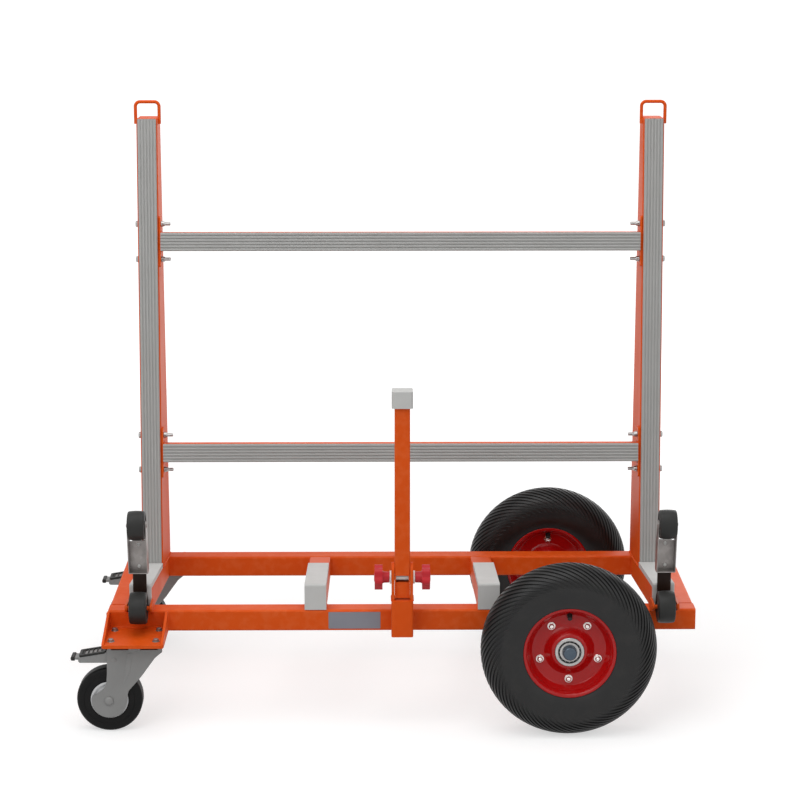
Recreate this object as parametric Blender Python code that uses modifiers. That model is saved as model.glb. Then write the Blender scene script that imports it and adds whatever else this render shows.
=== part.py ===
"""Slab buggy: a welded steel trolley that carries stone slabs on edge.

The frame's long side runs along X, with the casters at -X and the pneumatic wheels at +X. The slabs
are loaded from -Y and lean on the uprights. The origin is on the floor, below the middle of the
whole outline. Sizes are in metres.
"""

import math

import bmesh
import bpy
from mathutils import Matrix, Vector

# Fits and cuts
GAP = 0.0003
PIN_SIDES = 12
HOLE_SIDES = 8
OVERRUN = 0.010
MERGE = 0.00001
ROUND_STEPS = 3

# Frame tubes
TUBE = 0.050
TUBE_WALL = 0.003
TUBE_CORNER = 0.005
FRAME_LENGTH = 1.352
FRAME_WIDTH = 0.490
DECK_TOP = 0.262

# Seat bars and pads
MIDDLE_SEAT_SPACING = 0.3986
SEAT_SLOPE = math.radians(6.5)
PAD_THICKNESS = 0.012
PAD_CORNER = 0.006
PAD_BACK_Y = 0.041

# Uprights and their facings
LEAN = math.radians(5.5)
BACK_LENGTH = 1.0657
UPRIGHT_WALL = 0.003
UPRIGHT_BACK_BOTTOM_Y = 0.243
UPRIGHT_BACK_TOP_Y = 0.222
FACING_WIDTH = 0.044
FACING_THICKNESS = 0.006
FACING_GROOVE_DEPTH = 0.0015
FACING_RIBS = 6
GROOVE_SHARE = 0.22

# Lifting loops
LOOP_ROD = 0.008
LOOP_HEIGHT = 0.042
LOOP_LEG = 0.012
LOOP_CORNER = 0.009
LOOP_BITE = 0.001
LOOP_SETBACK = 0.020

# Cross rails
CROSS_RAIL_PLACES = (0.2677, 0.7752)
CROSS_RAIL_HEIGHT = 0.045
CROSS_RAIL_DEPTH = 0.030
CROSS_RAIL_CORNER = 0.004
END_PLATE_HEIGHT = 0.120
END_PLATE_DEPTH = 0.036
END_PLATE_THICKNESS = 0.004
END_PLATE_BITE = 0.0005

# Wing bolts
BOLT_RADIUS = 0.004
BOLT_CLEARANCE = 0.0006
BOLT_SPACING = 0.084
BOLT_HEAD_RADIUS = 0.0075
BOLT_HEAD_HEIGHT = 0.0053
BOLT_TIP = 0.022
WING_HUB_RADIUS = 0.007
WING_HUB_LENGTH = 0.008
WING_SPAN = 0.034
WING_THICKNESS = 0.0025
WING_TIP_HEIGHT = 0.014
WING_OUTLINE_SHARES = (
    (1, 1), (0.75, 1), (0.29, 0.46), (-0.29, 0.46), (-0.75, 1), (-1, 1), (-0.55, 0.02), (0.55, 0.02)
)

# Clamp post
SOCKET_HEIGHT = 0.086
SOCKET_TOP_PLATE = 0.004
EAR_SPREAD = 0.049
EAR_THICKNESS = 0.0064
EAR_RADIUS = 0.019
EAR_RISE = 0.016
POST_PIN_Z = 0.348
POST_PIN_RADIUS = 0.007
POST_WIDTH = 0.035
POST_WALL = 0.003
POST_CORNER = 0.004
POST_TOP_Z = 0.775
POST_SWING_CLEARANCE = 0.001
POST_MOUTH_HEIGHT = 0.010
POST_MOUTH_INSET = 0.0024
POST_MOUTH_DEPTH = 0.0045
CAP_WIDTH = 0.048
CAP_HEIGHT = 0.038
CAP_CORNER = 0.006
CAP_WRAP = 0.029

# Star knobs
WASHER_RADIUS = 0.018
WASHER_THICKNESS = 0.004
STUD_RADIUS = 0.005
STUD_LENGTH = 0.020
KNOB_HUB_RADIUS = 0.0135
KNOB_HUB_LENGTH = 0.016
KNOB_RADIUS = 0.0285
KNOB_THICKNESS = 0.018
KNOB_LOBES = 6
KNOB_LOBE_SHARE = 0.13
KNOB_POINTS = 30
KNOB_BITE = 0.0005

# Pneumatic wheels
WHEEL_INSET = 0.2995
TRACK = 0.680
WHEEL_RADIUS = 0.200
TYRE_WIDTH = 0.100
TYRE_CENTRE_RADIUS = 0.152
TYRE_WALL = 0.008
TYRE_BEAD_RADIUS = 0.1057
TYRE_BEAD_HALF = 0.0400
TYRE_TOE_HALF = 0.0260
TYRE_ARC_STEPS = 6
WHEEL_SIDES = 24
RIM_LIP_RADIUS = 0.105
RIM_LIP_HALF = 0.0394
RIM_LIP_THICKNESS = 0.0032
RIM_SEAT_RADIUS = 0.0975
RIM_SEAT_HALF = 0.020
RIM_WELL_RADIUS = 0.0885
RIM_WELL_HALF = 0.010
RIM_WALL = 0.0040
RIM_WEB_HALF = 0.009
RIM_CONE_RADIUS = 0.056
RIM_CONE_TOP_RADIUS = 0.040
RIM_CONE_HALF = 0.027
HUB_RADIUS = 0.0333
HUB_HALF = 0.030
RIM_BOLT_CIRCLE = 0.069
RIM_BOLT_COUNT = 5
RIM_BOLT_HEAD_RADIUS = 0.0075
RIM_BOLT_HEAD_HEIGHT = 0.006
AXLE_NUT_RADIUS = 0.0155
AXLE_NUT_LENGTH = 0.0145
AXLE_COLLAR_LENGTH = 0.012

# Casters
CASTER_INSET = 0.068
CASTER_HALF_TRACK = 0.305
CASTER_TRAIL = 0.060
CASTER_BRACKET_LENGTH = 0.140
CASTER_BRACKET_REACH = 0.130
CASTER_BRACKET_THICKNESS = 0.008
CASTER_BRACKET_BITE = 0.002
CASTER_BRACKET_STEP = 0.0005
GUSSET_THICKNESS = 0.006
CASTER_PLATE_LENGTH = 0.136
CASTER_PLATE_WIDTH = 0.108
CASTER_PLATE_THICKNESS = 0.004
CASTER_PLATE_CORNER = 0.008
CASTER_BOLT_X = 0.1015
CASTER_BOLT_Y = 0.080
CASTER_RACE_RADIUS = 0.034
CASTER_RACE_HEIGHT = 0.008
KINGPIN_RADIUS = 0.008
KINGPIN_NUT_RADIUS = 0.014
KINGPIN_NUT_HEIGHT = 0.006
FORK_THICKNESS = 0.004
FORK_INSIDE = 0.048
FORK_CROWN_LENGTH = 0.126
FORK_FRONT_SHARES = ((1, 0), (1, 0.06), (0.74, 0.18), (0.24, 0.53), (-0.24, 0.81))
FORK_BACK_SHARES = ((0.8, 0.6), (0.09, 1.2))
CASTER_RADIUS = 0.075
CASTER_WIDTH = 0.042
CASTER_CORE_RADIUS = 0.043
CASTER_CORE_RECESS_SHARE = 0.6
CASTER_TREAD_CORNER = 0.008
CASTER_SIDES = 24
CASTER_AXLE_RADIUS = 0.006
CASTER_AXLE_HEAD_RADIUS = 0.011
CASTER_AXLE_HEAD = 0.006
FORK_DISC_RADIUS = 0.034
FORK_ARC_STEPS = 10
PEDAL_PIVOT_DROP = 0.028
PEDAL_PIVOT_BACK = 0.046
PEDAL_PIN_RADIUS = 0.005
PEDAL_REACH = 0.147
PEDAL_WIDTH = 0.044
PEDAL_BOSS = 0.008
PEDAL_OUTLINE_SHARES = (
    (0.80, -1), (0.82, 0), (1, -0.4), (1, 0.6), (0.80, 0.9), (0.70, 1.2), (0.22, 2.3)
)
PEDAL_PIN_HEAD = 0.003

# Guide rollers
ROLLER_WIDTH = 0.039
UPPER_ROLLER_RADIUS = 0.0335
LOWER_ROLLER_RADIUS = 0.0370
ROLLER_CORNER = 0.004
ROLLER_SIDES = 20
ROLLER_PIN_RADIUS = 0.005
UPPER_ROLLER_Z = 0.4766
LOWER_ROLLER_Z = 0.2820
STALK_WIDTH = 0.031
STALK_THICKNESS = 0.007
STALK_BOTTOM_Z = 0.252
STALK_TOP_Z = 0.430
ROLLER_STANDOFF = 0.0010
TRAY_WIDTH = 0.044
TRAY_WALL = 0.002
TRAY_BOTTOM_Z = 0.360
TRAY_DEPTH = 0.028
TRAY_RIVET_RADIUS = 0.004
TRAY_RIVET_HEIGHT = 0.002
TRAY_RIVET_SHARES = (0.2, 0.85)
LUG_THICKNESS = 0.005
LUG_RADIUS = 0.008
LUG_ROOT = 0.022
LUG_BITE = 0.002

# Places worked out from the sizes above
OUTER_Y = FRAME_WIDTH / 2
INNER_Y = OUTER_Y - TUBE
RAIL_Y = OUTER_Y - TUBE / 2
RAIL_Z = DECK_TOP - TUBE / 2
RAIL_BOTTOM = DECK_TOP - TUBE
END_MEMBER_X = (FRAME_LENGTH - TUBE) / 2
WHEEL_X = FRAME_LENGTH / 2 - WHEEL_INSET
CASTER_SWIVEL_X = CASTER_INSET - FRAME_LENGTH / 2
UPRIGHT_X = END_MEMBER_X - TUBE - GAP
PAD_RISE = PAD_THICKNESS / math.cos(SEAT_SLOPE)
POST_Y = -OUTER_Y - TUBE / 2
HOLE_RADIUS = BOLT_RADIUS + BOLT_CLEARANCE
CASTER_BRACKET_BOTTOM = RAIL_BOTTOM + CASTER_BRACKET_STEP
CASTER_PLATE_Z = CASTER_BRACKET_BOTTOM - GAP
CROWN_TOP = CASTER_PLATE_Z - CASTER_PLATE_THICKNESS - CASTER_RACE_HEIGHT - GAP
FRAME_SHIFT = (PEDAL_REACH - CASTER_SWIVEL_X - FRAME_LENGTH / 2) / 2
AXLE_RADIUS = RAIL_BOTTOM - GAP - WHEEL_RADIUS

# Turns that lay an outline drawn in its own X and Y onto the object's planes
SIDEWAYS = (math.pi / 2, 0, math.pi / 2)
FRONTAL = (math.pi / 2, 0, 0)
ALONG_X = (0, math.pi / 2, 0)
ALONG_Y = (math.pi / 2, 0, 0)


def seat_height(y):
    """Height of a seat bar's top face at this place along Y."""
    return DECK_TOP + (INNER_Y - y) * math.tan(SEAT_SLOPE)


BACK_Z = seat_height(PAD_BACK_Y) + PAD_RISE


def facing_y(z):
    """Place along Y of the plane that the slabs lean on, at this height."""
    return PAD_BACK_Y + (z - BACK_Z) * math.tan(LEAN)


def clear_scene():
    for scene_object in list(bpy.data.objects):
        bpy.data.objects.remove(scene_object, do_unlink=True)


def new_collection(name):
    collection = bpy.data.collections.new(name)
    bpy.context.scene.collection.children.link(collection)
    return collection


def new_material(name, colour, roughness, metallic=0.0):
    material = bpy.data.materials.new(name)
    material.use_nodes = True
    shader = material.node_tree.nodes["Principled BSDF"]
    shader.inputs["Base Color"].default_value = (*colour, 1.0)
    shader.inputs["Roughness"].default_value = roughness
    shader.inputs["Metallic"].default_value = metallic
    return material


clear_scene()
PARTS = new_collection("slab_buggy")
CUTTERS = new_collection("cutters")
ORANGE = new_material("orange_paint", (0.60, 0.11, 0.02), 0.35)
PAD_GREY = new_material("pad_grey", (0.55, 0.55, 0.54), 0.6)
RIB_GREY = new_material("rib_grey", (0.33, 0.33, 0.33), 0.55)
ZINC = new_material("zinc", (0.62, 0.62, 0.62), 0.35, 0.9)
STEEL_GREY = new_material("pressed_grey", (0.36, 0.36, 0.36), 0.4, 0.6)
BLACK_RUBBER = new_material("black_rubber", (0.02, 0.02, 0.02), 0.7)
DARK_PAINT = new_material("dark_paint", (0.05, 0.03, 0.025), 0.5)
RED_PAINT = new_material("red_paint", (0.40, 0.012, 0.012), 0.3)
RED_PLASTIC = new_material("red_plastic", (0.55, 0.02, 0.04), 0.4)
CORE_GREY = new_material("core_grey", (0.55, 0.56, 0.57), 0.5)


def add_empty(name, location=(0, 0, 0), rotation=(0, 0, 0), parent=None):
    """An empty that carries pieces: a joint's axis or a leaning plane."""
    empty = bpy.data.objects.new(name, None)
    empty.location = location
    empty.rotation_euler = rotation
    empty.parent = parent
    PARTS.objects.link(empty)
    return empty


ROOT = add_empty("frame_origin", (FRAME_SHIFT, 0, 0))
BACK = add_empty("leaning_back", (0, PAD_BACK_Y, BACK_Z), (-LEAN, 0, 0), ROOT)


def place(name, mesh, location, rotation, parent, collection):
    placed = bpy.data.objects.new(name, mesh)
    placed.location = location
    placed.rotation_euler = rotation
    placed.parent = parent or ROOT
    collection.objects.link(placed)
    return placed


def add_part(name, mesh, material, location=(0, 0, 0), rotation=(0, 0, 0), parent=None):
    """A piece of the object, with its own material."""
    part = place(name, mesh, location, rotation, parent, PARTS)
    if not mesh.materials:
        mesh.materials.append(material)
    return part


def add_helper(name, mesh, location=(0, 0, 0), rotation=(0, 0, 0), parent=None):
    """A hidden shape that a Boolean joins to a piece or cuts from it."""
    helper = place(name, mesh, location, rotation, parent, CUTTERS)
    helper.hide_render = True
    helper.display_type = "WIRE"
    return helper


def combine(part, operation, *helpers):
    for helper in helpers:
        modifier = part.modifiers.new(helper.name, "BOOLEAN")
        modifier.operation = operation
        modifier.object = helper
    return part


def cut(part, *helpers):
    return combine(part, "DIFFERENCE", *helpers)


def join(part, *helpers):
    return combine(part, "UNION", *helpers)


def realised(name, source):
    """The evaluated shape of an object, as a new mesh with its loose caps welded."""
    graph = bpy.context.evaluated_depsgraph_get()
    mesh = bpy.data.meshes.new_from_object(source.evaluated_get(graph))
    mesh.name = name
    shape = bmesh.new()
    shape.from_mesh(mesh)
    bmesh.ops.remove_doubles(shape, verts=shape.verts, dist=MERGE)
    shape.to_mesh(mesh)
    shape.free()
    return mesh


def smooth(mesh):
    mesh.shade_smooth()
    mesh.set_sharp_from_angle(angle=math.radians(35))
    return mesh


def plate_mesh(name, outlines, thickness):
    """A flat shape: outlines in the XY plane, filled, and as thick as this along Z, about its middle."""
    curve = bpy.data.curves.new(name, "CURVE")
    curve.dimensions = "2D"
    curve.fill_mode = "BOTH"
    curve.extrude = thickness / 2
    for outline in outlines:
        spline = curve.splines.new("POLY")
        spline.points.add(len(outline) - 1)
        for point, (x, y) in zip(spline.points, outline):
            point.co = (x, y, 0, 1)
        spline.use_cyclic_u = True
    drawn = bpy.data.objects.new(name, curve)
    bpy.context.scene.collection.objects.link(drawn)
    mesh = realised(name, drawn)
    bpy.data.objects.remove(drawn, do_unlink=True)
    mesh.materials.clear()
    return smooth(mesh)


def rod_mesh(name, points, radius):
    """A bent rod through these points, with flat ends."""
    curve = bpy.data.curves.new(name, "CURVE")
    curve.dimensions = "3D"
    curve.bevel_depth = radius
    curve.bevel_resolution = 2
    curve.use_fill_caps = True
    spline = curve.splines.new("POLY")
    spline.points.add(len(points) - 1)
    for point, spot in zip(spline.points, points):
        point.co = (*spot, 1)
    drawn = bpy.data.objects.new(name, curve)
    bpy.context.scene.collection.objects.link(drawn)
    mesh = realised(name, drawn)
    bpy.data.objects.remove(drawn, do_unlink=True)
    mesh.materials.clear()
    return smooth(mesh)


def box_mesh(name, size):
    mesh = bpy.data.meshes.new(name)
    shape = bmesh.new()
    bmesh.ops.create_cube(shape, size=1, matrix=Matrix.Diagonal((*size, 1)))
    shape.to_mesh(mesh)
    shape.free()
    return mesh


def box_between(name, low, high, parent=None):
    """A hidden box between two opposite corners."""
    low, high = Vector(low), Vector(high)
    return add_helper(name, box_mesh(name, high - low), (low + high) / 2, (0, 0, 0), parent)


def cylinder_mesh(name, radius, length, sides):
    mesh = bpy.data.meshes.new(name)
    shape = bmesh.new()
    bmesh.ops.create_cone(
        shape, cap_ends=True, segments=sides, radius1=radius, radius2=radius, depth=length
    )
    shape.to_mesh(mesh)
    shape.free()
    return smooth(mesh)


def turned_mesh(name, profile, sides, closed=True):
    """A turned shape about Z. The profile, (radius, height) pairs, runs down its outer side."""
    count = len(profile)
    edges = [(index, (index + 1) % count) for index in range(count if closed else count - 1)]
    outline = bpy.data.meshes.new(name + "_profile")
    outline.from_pydata([(radius, 0, height) for radius, height in profile], edges, [])
    drawn = bpy.data.objects.new(name, outline)
    bpy.context.scene.collection.objects.link(drawn)
    screw = drawn.modifiers.new("Turn", "SCREW")
    screw.steps = sides
    screw.render_steps = sides
    screw.use_merge_vertices = True
    screw.merge_threshold = MERGE
    mesh = realised(name, drawn)
    bpy.data.objects.remove(drawn, do_unlink=True)
    return smooth(mesh)


def mirrored_profile(half):
    """A closed profile from its upper half, which starts and ends on the middle plane."""
    below = [(radius, -height) for radius, height in half]
    return below + list(reversed(half[1:-1]))


def arc(centre, radius, start, end, steps):
    """Points along an arc, from one angle to another in degrees."""
    points = []
    for step in range(steps + 1):
        angle = math.radians(start + (end - start) * step / steps)
        points.append((centre[0] + radius * math.cos(angle), centre[1] + radius * math.sin(angle)))
    return points


def rounded_rectangle(width, height, radius, steps=ROUND_STEPS):
    across, up = width / 2 - radius, height / 2 - radius
    corners = (((across, up), 0), ((-across, up), 90), ((-across, -up), 180), ((across, -up), 270))
    points = []
    for centre, start in corners:
        points += arc(centre, radius, start, start + 90, steps)
    return points


def rectangle(width, height):
    across, up = width / 2, height / 2
    return [(across, up), (-across, up), (-across, -up), (across, -up)]


def tube_mesh(name, width, height, wall, corner, length):
    bore = rectangle(width - 2 * wall, height - 2 * wall)
    return plate_mesh(name, [rounded_rectangle(width, height, corner, 2), bore], length)


def end_name(side):
    return "left" if side < 0 else "right"


def row_name(side):
    return "front" if side < 0 else "rear"


def build_rail(side):
    """A long rail, welded to its caster bracket. The front one also carries the lower rollers' lugs."""
    name = row_name(side) + "_rail"
    tube = tube_mesh(name, TUBE, TUBE, TUBE_WALL, TUBE_CORNER, FRAME_LENGTH)
    rail = add_part(name, tube, ORANGE, (0, side * RAIL_Y, RAIL_Z), ALONG_X)
    root_y = side * (OUTER_Y - CASTER_BRACKET_BITE)
    tip_y = side * (OUTER_Y + CASTER_BRACKET_REACH)
    half = CASTER_BRACKET_LENGTH / 2
    top = CASTER_BRACKET_BOTTOM + CASTER_BRACKET_THICKNESS
    shelf = box_between(
        name + "_shelf",
        (CASTER_SWIVEL_X - half, min(root_y, tip_y), CASTER_BRACKET_BOTTOM),
        (CASTER_SWIVEL_X + half, max(root_y, tip_y), top),
    )
    helpers = [shelf]
    middle = CASTER_BRACKET_BOTTOM + CASTER_BRACKET_THICKNESS / 2
    shoulder = DECK_TOP - CASTER_BRACKET_BITE
    gusset_outline = [
        (root_y, middle),
        (root_y, shoulder),
        (side * (OUTER_Y + CASTER_BRACKET_BITE), shoulder),
        (tip_y - side * CASTER_BRACKET_STEP, top + CASTER_BRACKET_BITE),
        (tip_y - side * CASTER_BRACKET_STEP, middle),
    ]
    for end in (-1, 1):
        gusset = plate_mesh(name + "_gusset", [gusset_outline], GUSSET_THICKNESS)
        inset = half - GUSSET_THICKNESS / 2 - CASTER_BRACKET_STEP
        spot = (CASTER_SWIVEL_X + end * inset, 0, 0)
        helpers.append(add_helper(name + "_gusset", gusset, spot, SIDEWAYS))
    if side < 0:
        helpers += lower_roller_lugs(name)
    join(rail, *helpers)
    for along in (-1, 1):
        for across in (-1, 1):
            hole = cylinder_mesh(name + "_bolt_hole", HOLE_RADIUS, 2 * OVERRUN, HOLE_SIDES)
            x = CASTER_SWIVEL_X + along * CASTER_BOLT_X / 2
            y = side * CASTER_HALF_TRACK + across * CASTER_BOLT_Y / 2
            cut(rail, add_helper(name + "_bolt_hole", hole, (x, y, middle)))
    return rail


def lower_roller_y():
    """Place along Y of the lower rollers' axis, clear of the stalk in front of the rail."""
    return -(OUTER_Y + 2 * GAP + STALK_THICKNESS + LOWER_ROLLER_RADIUS + ROLLER_STANDOFF)


def lower_roller_lugs(name):
    """Two lugs and the pin between them for each lower roller, all welded to the front rail."""
    helpers = []
    axis_y = lower_roller_y()
    inside = TUBE / 2 + 2 * GAP
    for side in (-1, 1):
        centre = side * UPRIGHT_X
        lug_outline = arc((axis_y, LOWER_ROLLER_Z), LUG_RADIUS, 90, 270, 6)
        lug_outline += [
            (-OUTER_Y, DECK_TOP - TUBE_CORNER),
            (-OUTER_Y + LUG_ROOT, DECK_TOP - LUG_BITE),
            (-OUTER_Y + LUG_ROOT, LOWER_ROLLER_Z),
            (-OUTER_Y, LOWER_ROLLER_Z + LUG_RADIUS),
        ]
        for end in (-1, 1):
            lug = plate_mesh(name + "_lug", [lug_outline], LUG_THICKNESS)
            spot = (centre + end * (inside + LUG_THICKNESS / 2), 0, 0)
            helpers.append(add_helper(name + "_lug", lug, spot, SIDEWAYS))
        pin_length = 2 * (inside + LUG_THICKNESS) + 2 * LUG_BITE
        pin = cylinder_mesh(name + "_pin", ROLLER_PIN_RADIUS, pin_length, PIN_SIDES)
        helpers.append(add_helper(name + "_pin", pin, (centre, axis_y, LOWER_ROLLER_Z), ALONG_X))
    return helpers


def build_end_members():
    length = 2 * (INNER_Y - GAP)
    for side in (-1, 1):
        name = end_name(side) + "_end_member"
        tube = tube_mesh(name, TUBE, TUBE, TUBE_WALL, TUBE_CORNER, length)
        add_part(name, tube, ORANGE, (side * END_MEMBER_X, 0, RAIL_Z), ALONG_Y)


def seat_places():
    """Each seat's name and its place along X, from the left."""
    half = MIDDLE_SEAT_SPACING / 2
    left = (("left_end", -UPRIGHT_X), ("left_middle", -half))
    return left + (("right_middle", half), ("right_end", UPRIGHT_X))


def build_seats():
    """Four sloping bars on the front rail's top and the rear rail's face, each under an L-shaped pad."""
    span = FRAME_LENGTH + 2 * OVERRUN
    rear = box_between(
        "seat_bar_rear_trim", (-span / 2, INNER_Y - GAP, 0), (span / 2, 2 * OUTER_Y, DECK_TOP + TUBE)
    )
    front_y = -OUTER_Y + PAD_THICKNESS + GAP
    front = box_between(
        "seat_bar_front_trim", (-span / 2, -2 * OUTER_Y, 0), (span / 2, front_y, 2 * DECK_TOP)
    )
    rail_room = box_between(
        "seat_bar_rail_room", (-span / 2, -2 * OUTER_Y, 0), (span / 2, -INNER_Y + GAP, DECK_TOP + GAP)
    )
    length = FRAME_WIDTH + 2 * OVERRUN
    middle_z = seat_height(0) - TUBE / 2 / math.cos(SEAT_SLOPE)
    flat = DECK_TOP + GAP
    pad_outline = [
        (facing_y(seat_height(PAD_BACK_Y)) - 2 * GAP, seat_height(PAD_BACK_Y) + GAP),
        (PAD_BACK_Y - 2 * GAP, BACK_Z),
        (-OUTER_Y + PAD_CORNER, seat_height(-OUTER_Y + PAD_CORNER) + PAD_RISE),
    ]
    top_front = seat_height(-OUTER_Y) + PAD_RISE
    pad_outline += arc((-OUTER_Y + PAD_CORNER, top_front - PAD_CORNER), PAD_CORNER, 105, 180, 4)
    inner_y = -OUTER_Y + PAD_THICKNESS
    pad_outline += [(-OUTER_Y, flat), (inner_y, flat), (inner_y, seat_height(inner_y) + GAP)]
    for label, x in seat_places():
        tube = tube_mesh(label + "_seat_bar", TUBE, TUBE, TUBE_WALL, TUBE_CORNER, length)
        bar = add_part(label + "_seat_bar", tube, ORANGE, (x, 0, middle_z), (math.pi / 2 - SEAT_SLOPE, 0, 0))
        cut(bar, rear, front, rail_room)
        pad = plate_mesh(label + "_seat_pad", [pad_outline], TUBE)
        add_part(label + "_seat_pad", pad, PAD_GREY, (x, 0, 0), SIDEWAYS)


def back_point(x, depth, up):
    """A place given in the leaning plane, as the frame's own coordinates."""
    turn = Matrix.Rotation(-LEAN, 4, "X")
    return Vector((0, PAD_BACK_Y, BACK_Z)) + turn @ Vector((x, depth, up))


def loop_points():
    """The lifting loop's middle line, standing over an upright's two sides."""
    leg_x = TUBE / 2 + LOOP_ROD / 2 - LOOP_BITE
    top = LOOP_HEIGHT - LOOP_ROD / 2
    left = arc((-leg_x + LOOP_CORNER, top - LOOP_CORNER), LOOP_CORNER, 180, 90, 4)
    right = arc((leg_x - LOOP_CORNER, top - LOOP_CORNER), LOOP_CORNER, 90, 0, 4)
    flat = [(-leg_x, -LOOP_LEG)] + left + right + [(leg_x, -LOOP_LEG)]
    return [(x, 0, z) for x, z in flat]


def build_uprights():
    top = back_point(0, 0, BACK_LENGTH)
    depth = (FACING_THICKNESS + GAP) / math.cos(LEAN)
    flat = DECK_TOP + GAP
    foot_y = facing_y(seat_height(PAD_BACK_Y)) + depth
    outline = [
        (foot_y, seat_height(foot_y) + GAP),
        (INNER_Y, flat),
        (UPRIGHT_BACK_BOTTOM_Y, flat),
        (UPRIGHT_BACK_TOP_Y, top.z),
        (facing_y(top.z) + depth, top.z),
    ]
    low, high = flat - OVERRUN, top.z - UPRIGHT_WALL
    hollow = [
        (facing_y(low) + depth + UPRIGHT_WALL, low),
        (UPRIGHT_BACK_BOTTOM_Y + OVERRUN, low),
        (UPRIGHT_BACK_BOTTOM_Y + OVERRUN, high),
        (facing_y(high) + depth + UPRIGHT_WALL, high),
    ]
    for side in (-1, 1):
        name = end_name(side) + "_upright"
        x = side * UPRIGHT_X
        upright = add_part(name, plate_mesh(name, [outline], TUBE), ORANGE, (x, 0, 0), SIDEWAYS)
        inside = plate_mesh(name + "_inside", [hollow], TUBE - 2 * UPRIGHT_WALL)
        cut(upright, add_helper(name + "_inside", inside, (x, 0, 0), SIDEWAYS))
        loop = rod_mesh(name + "_loop", loop_points(), LOOP_ROD / 2)
        loop_y = facing_y(top.z) + depth + LOOP_SETBACK
        join(upright, add_helper(name + "_loop", loop, (x, loop_y, top.z)))
        for place_up in CROSS_RAIL_PLACES:
            for along in (-1, 1):
                hole = cylinder_mesh(name + "_hole", HOLE_RADIUS, TUBE + 2 * OVERRUN, HOLE_SIDES)
                spot = (x, bolt_depth(), place_up + along * BOLT_SPACING / 2)
                cut(upright, add_helper(name + "_hole", hole, spot, ALONG_X, BACK))


def facing_outline(width):
    """A ribbed strip's section: flat at the back, with grooves between its ribs in front."""
    pitch = width / FACING_RIBS
    groove = pitch * GROOVE_SHARE
    points = [(width / 2, FACING_THICKNESS), (-width / 2, FACING_THICKNESS), (-width / 2, 0)]
    for rib in range(1, FACING_RIBS):
        x = -width / 2 + rib * pitch
        points += [(x - groove / 2, 0), (x - groove / 2, FACING_GROOVE_DEPTH)]
        points += [(x + groove / 2, FACING_GROOVE_DEPTH), (x + groove / 2, 0)]
    points.append((width / 2, 0))
    return points


def build_upright_facings():
    foot = -PAD_RISE + 2 * GAP
    length = BACK_LENGTH - foot
    for side in (-1, 1):
        name = end_name(side) + "_upright_facing"
        strip = plate_mesh(name, [facing_outline(FACING_WIDTH)], length)
        add_part(name, strip, RIB_GREY, (side * UPRIGHT_X, 0, foot + length / 2), (0, 0, 0), BACK)


def bolt_depth():
    """How far behind the leaning plane the cross rails' middle and their bolts lie."""
    return FACING_THICKNESS + GAP + CROSS_RAIL_DEPTH / 2


def build_cross_rails():
    """Two tubes between the uprights, each with welded end plates and a ribbed facing."""
    inside = UPRIGHT_X - TUBE / 2 - GAP
    tube_half = inside - END_PLATE_THICKNESS + END_PLATE_BITE
    for label, up in zip(("lower", "upper"), CROSS_RAIL_PLACES):
        name = label + "_cross_rail"
        tube = tube_mesh(
            name, CROSS_RAIL_HEIGHT, CROSS_RAIL_DEPTH, UPRIGHT_WALL, CROSS_RAIL_CORNER, 2 * tube_half
        )
        rail = add_part(name, tube, ORANGE, (0, bolt_depth(), up), ALONG_X, BACK)
        for side in (-1, 1):
            plate = box_mesh(name + "_plate", (END_PLATE_THICKNESS, END_PLATE_DEPTH, END_PLATE_HEIGHT))
            depth = FACING_THICKNESS + GAP + END_PLATE_DEPTH / 2
            spot = (side * (inside - END_PLATE_THICKNESS / 2), depth, up)
            join(rail, add_helper(name + "_plate", plate, spot, (0, 0, 0), BACK))
            for along in (-1, 1):
                hole = cylinder_mesh(name + "_hole", HOLE_RADIUS, 2 * OVERRUN, HOLE_SIDES)
                spot = (side * inside, bolt_depth(), up + along * BOLT_SPACING / 2)
                cut(rail, add_helper(name + "_hole", hole, spot, ALONG_X, BACK))
            bore_depth = CROSS_RAIL_DEPTH - 2 * UPRIGHT_WALL
            bore_height = CROSS_RAIL_HEIGHT - 2 * UPRIGHT_WALL
            bore = box_mesh(name + "_bore", (2 * END_PLATE_DEPTH, bore_depth, bore_height))
            cut(rail, add_helper(name + "_bore", bore, (side * inside, bolt_depth(), up), (0, 0, 0), BACK))
        strip_name = label + "_rail_facing"
        strip = plate_mesh(strip_name, [facing_outline(FACING_WIDTH)], 2 * (inside - END_PLATE_THICKNESS))
        add_part(strip_name, strip, RIB_GREY, (0, 0, up), ALONG_X, BACK)


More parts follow.
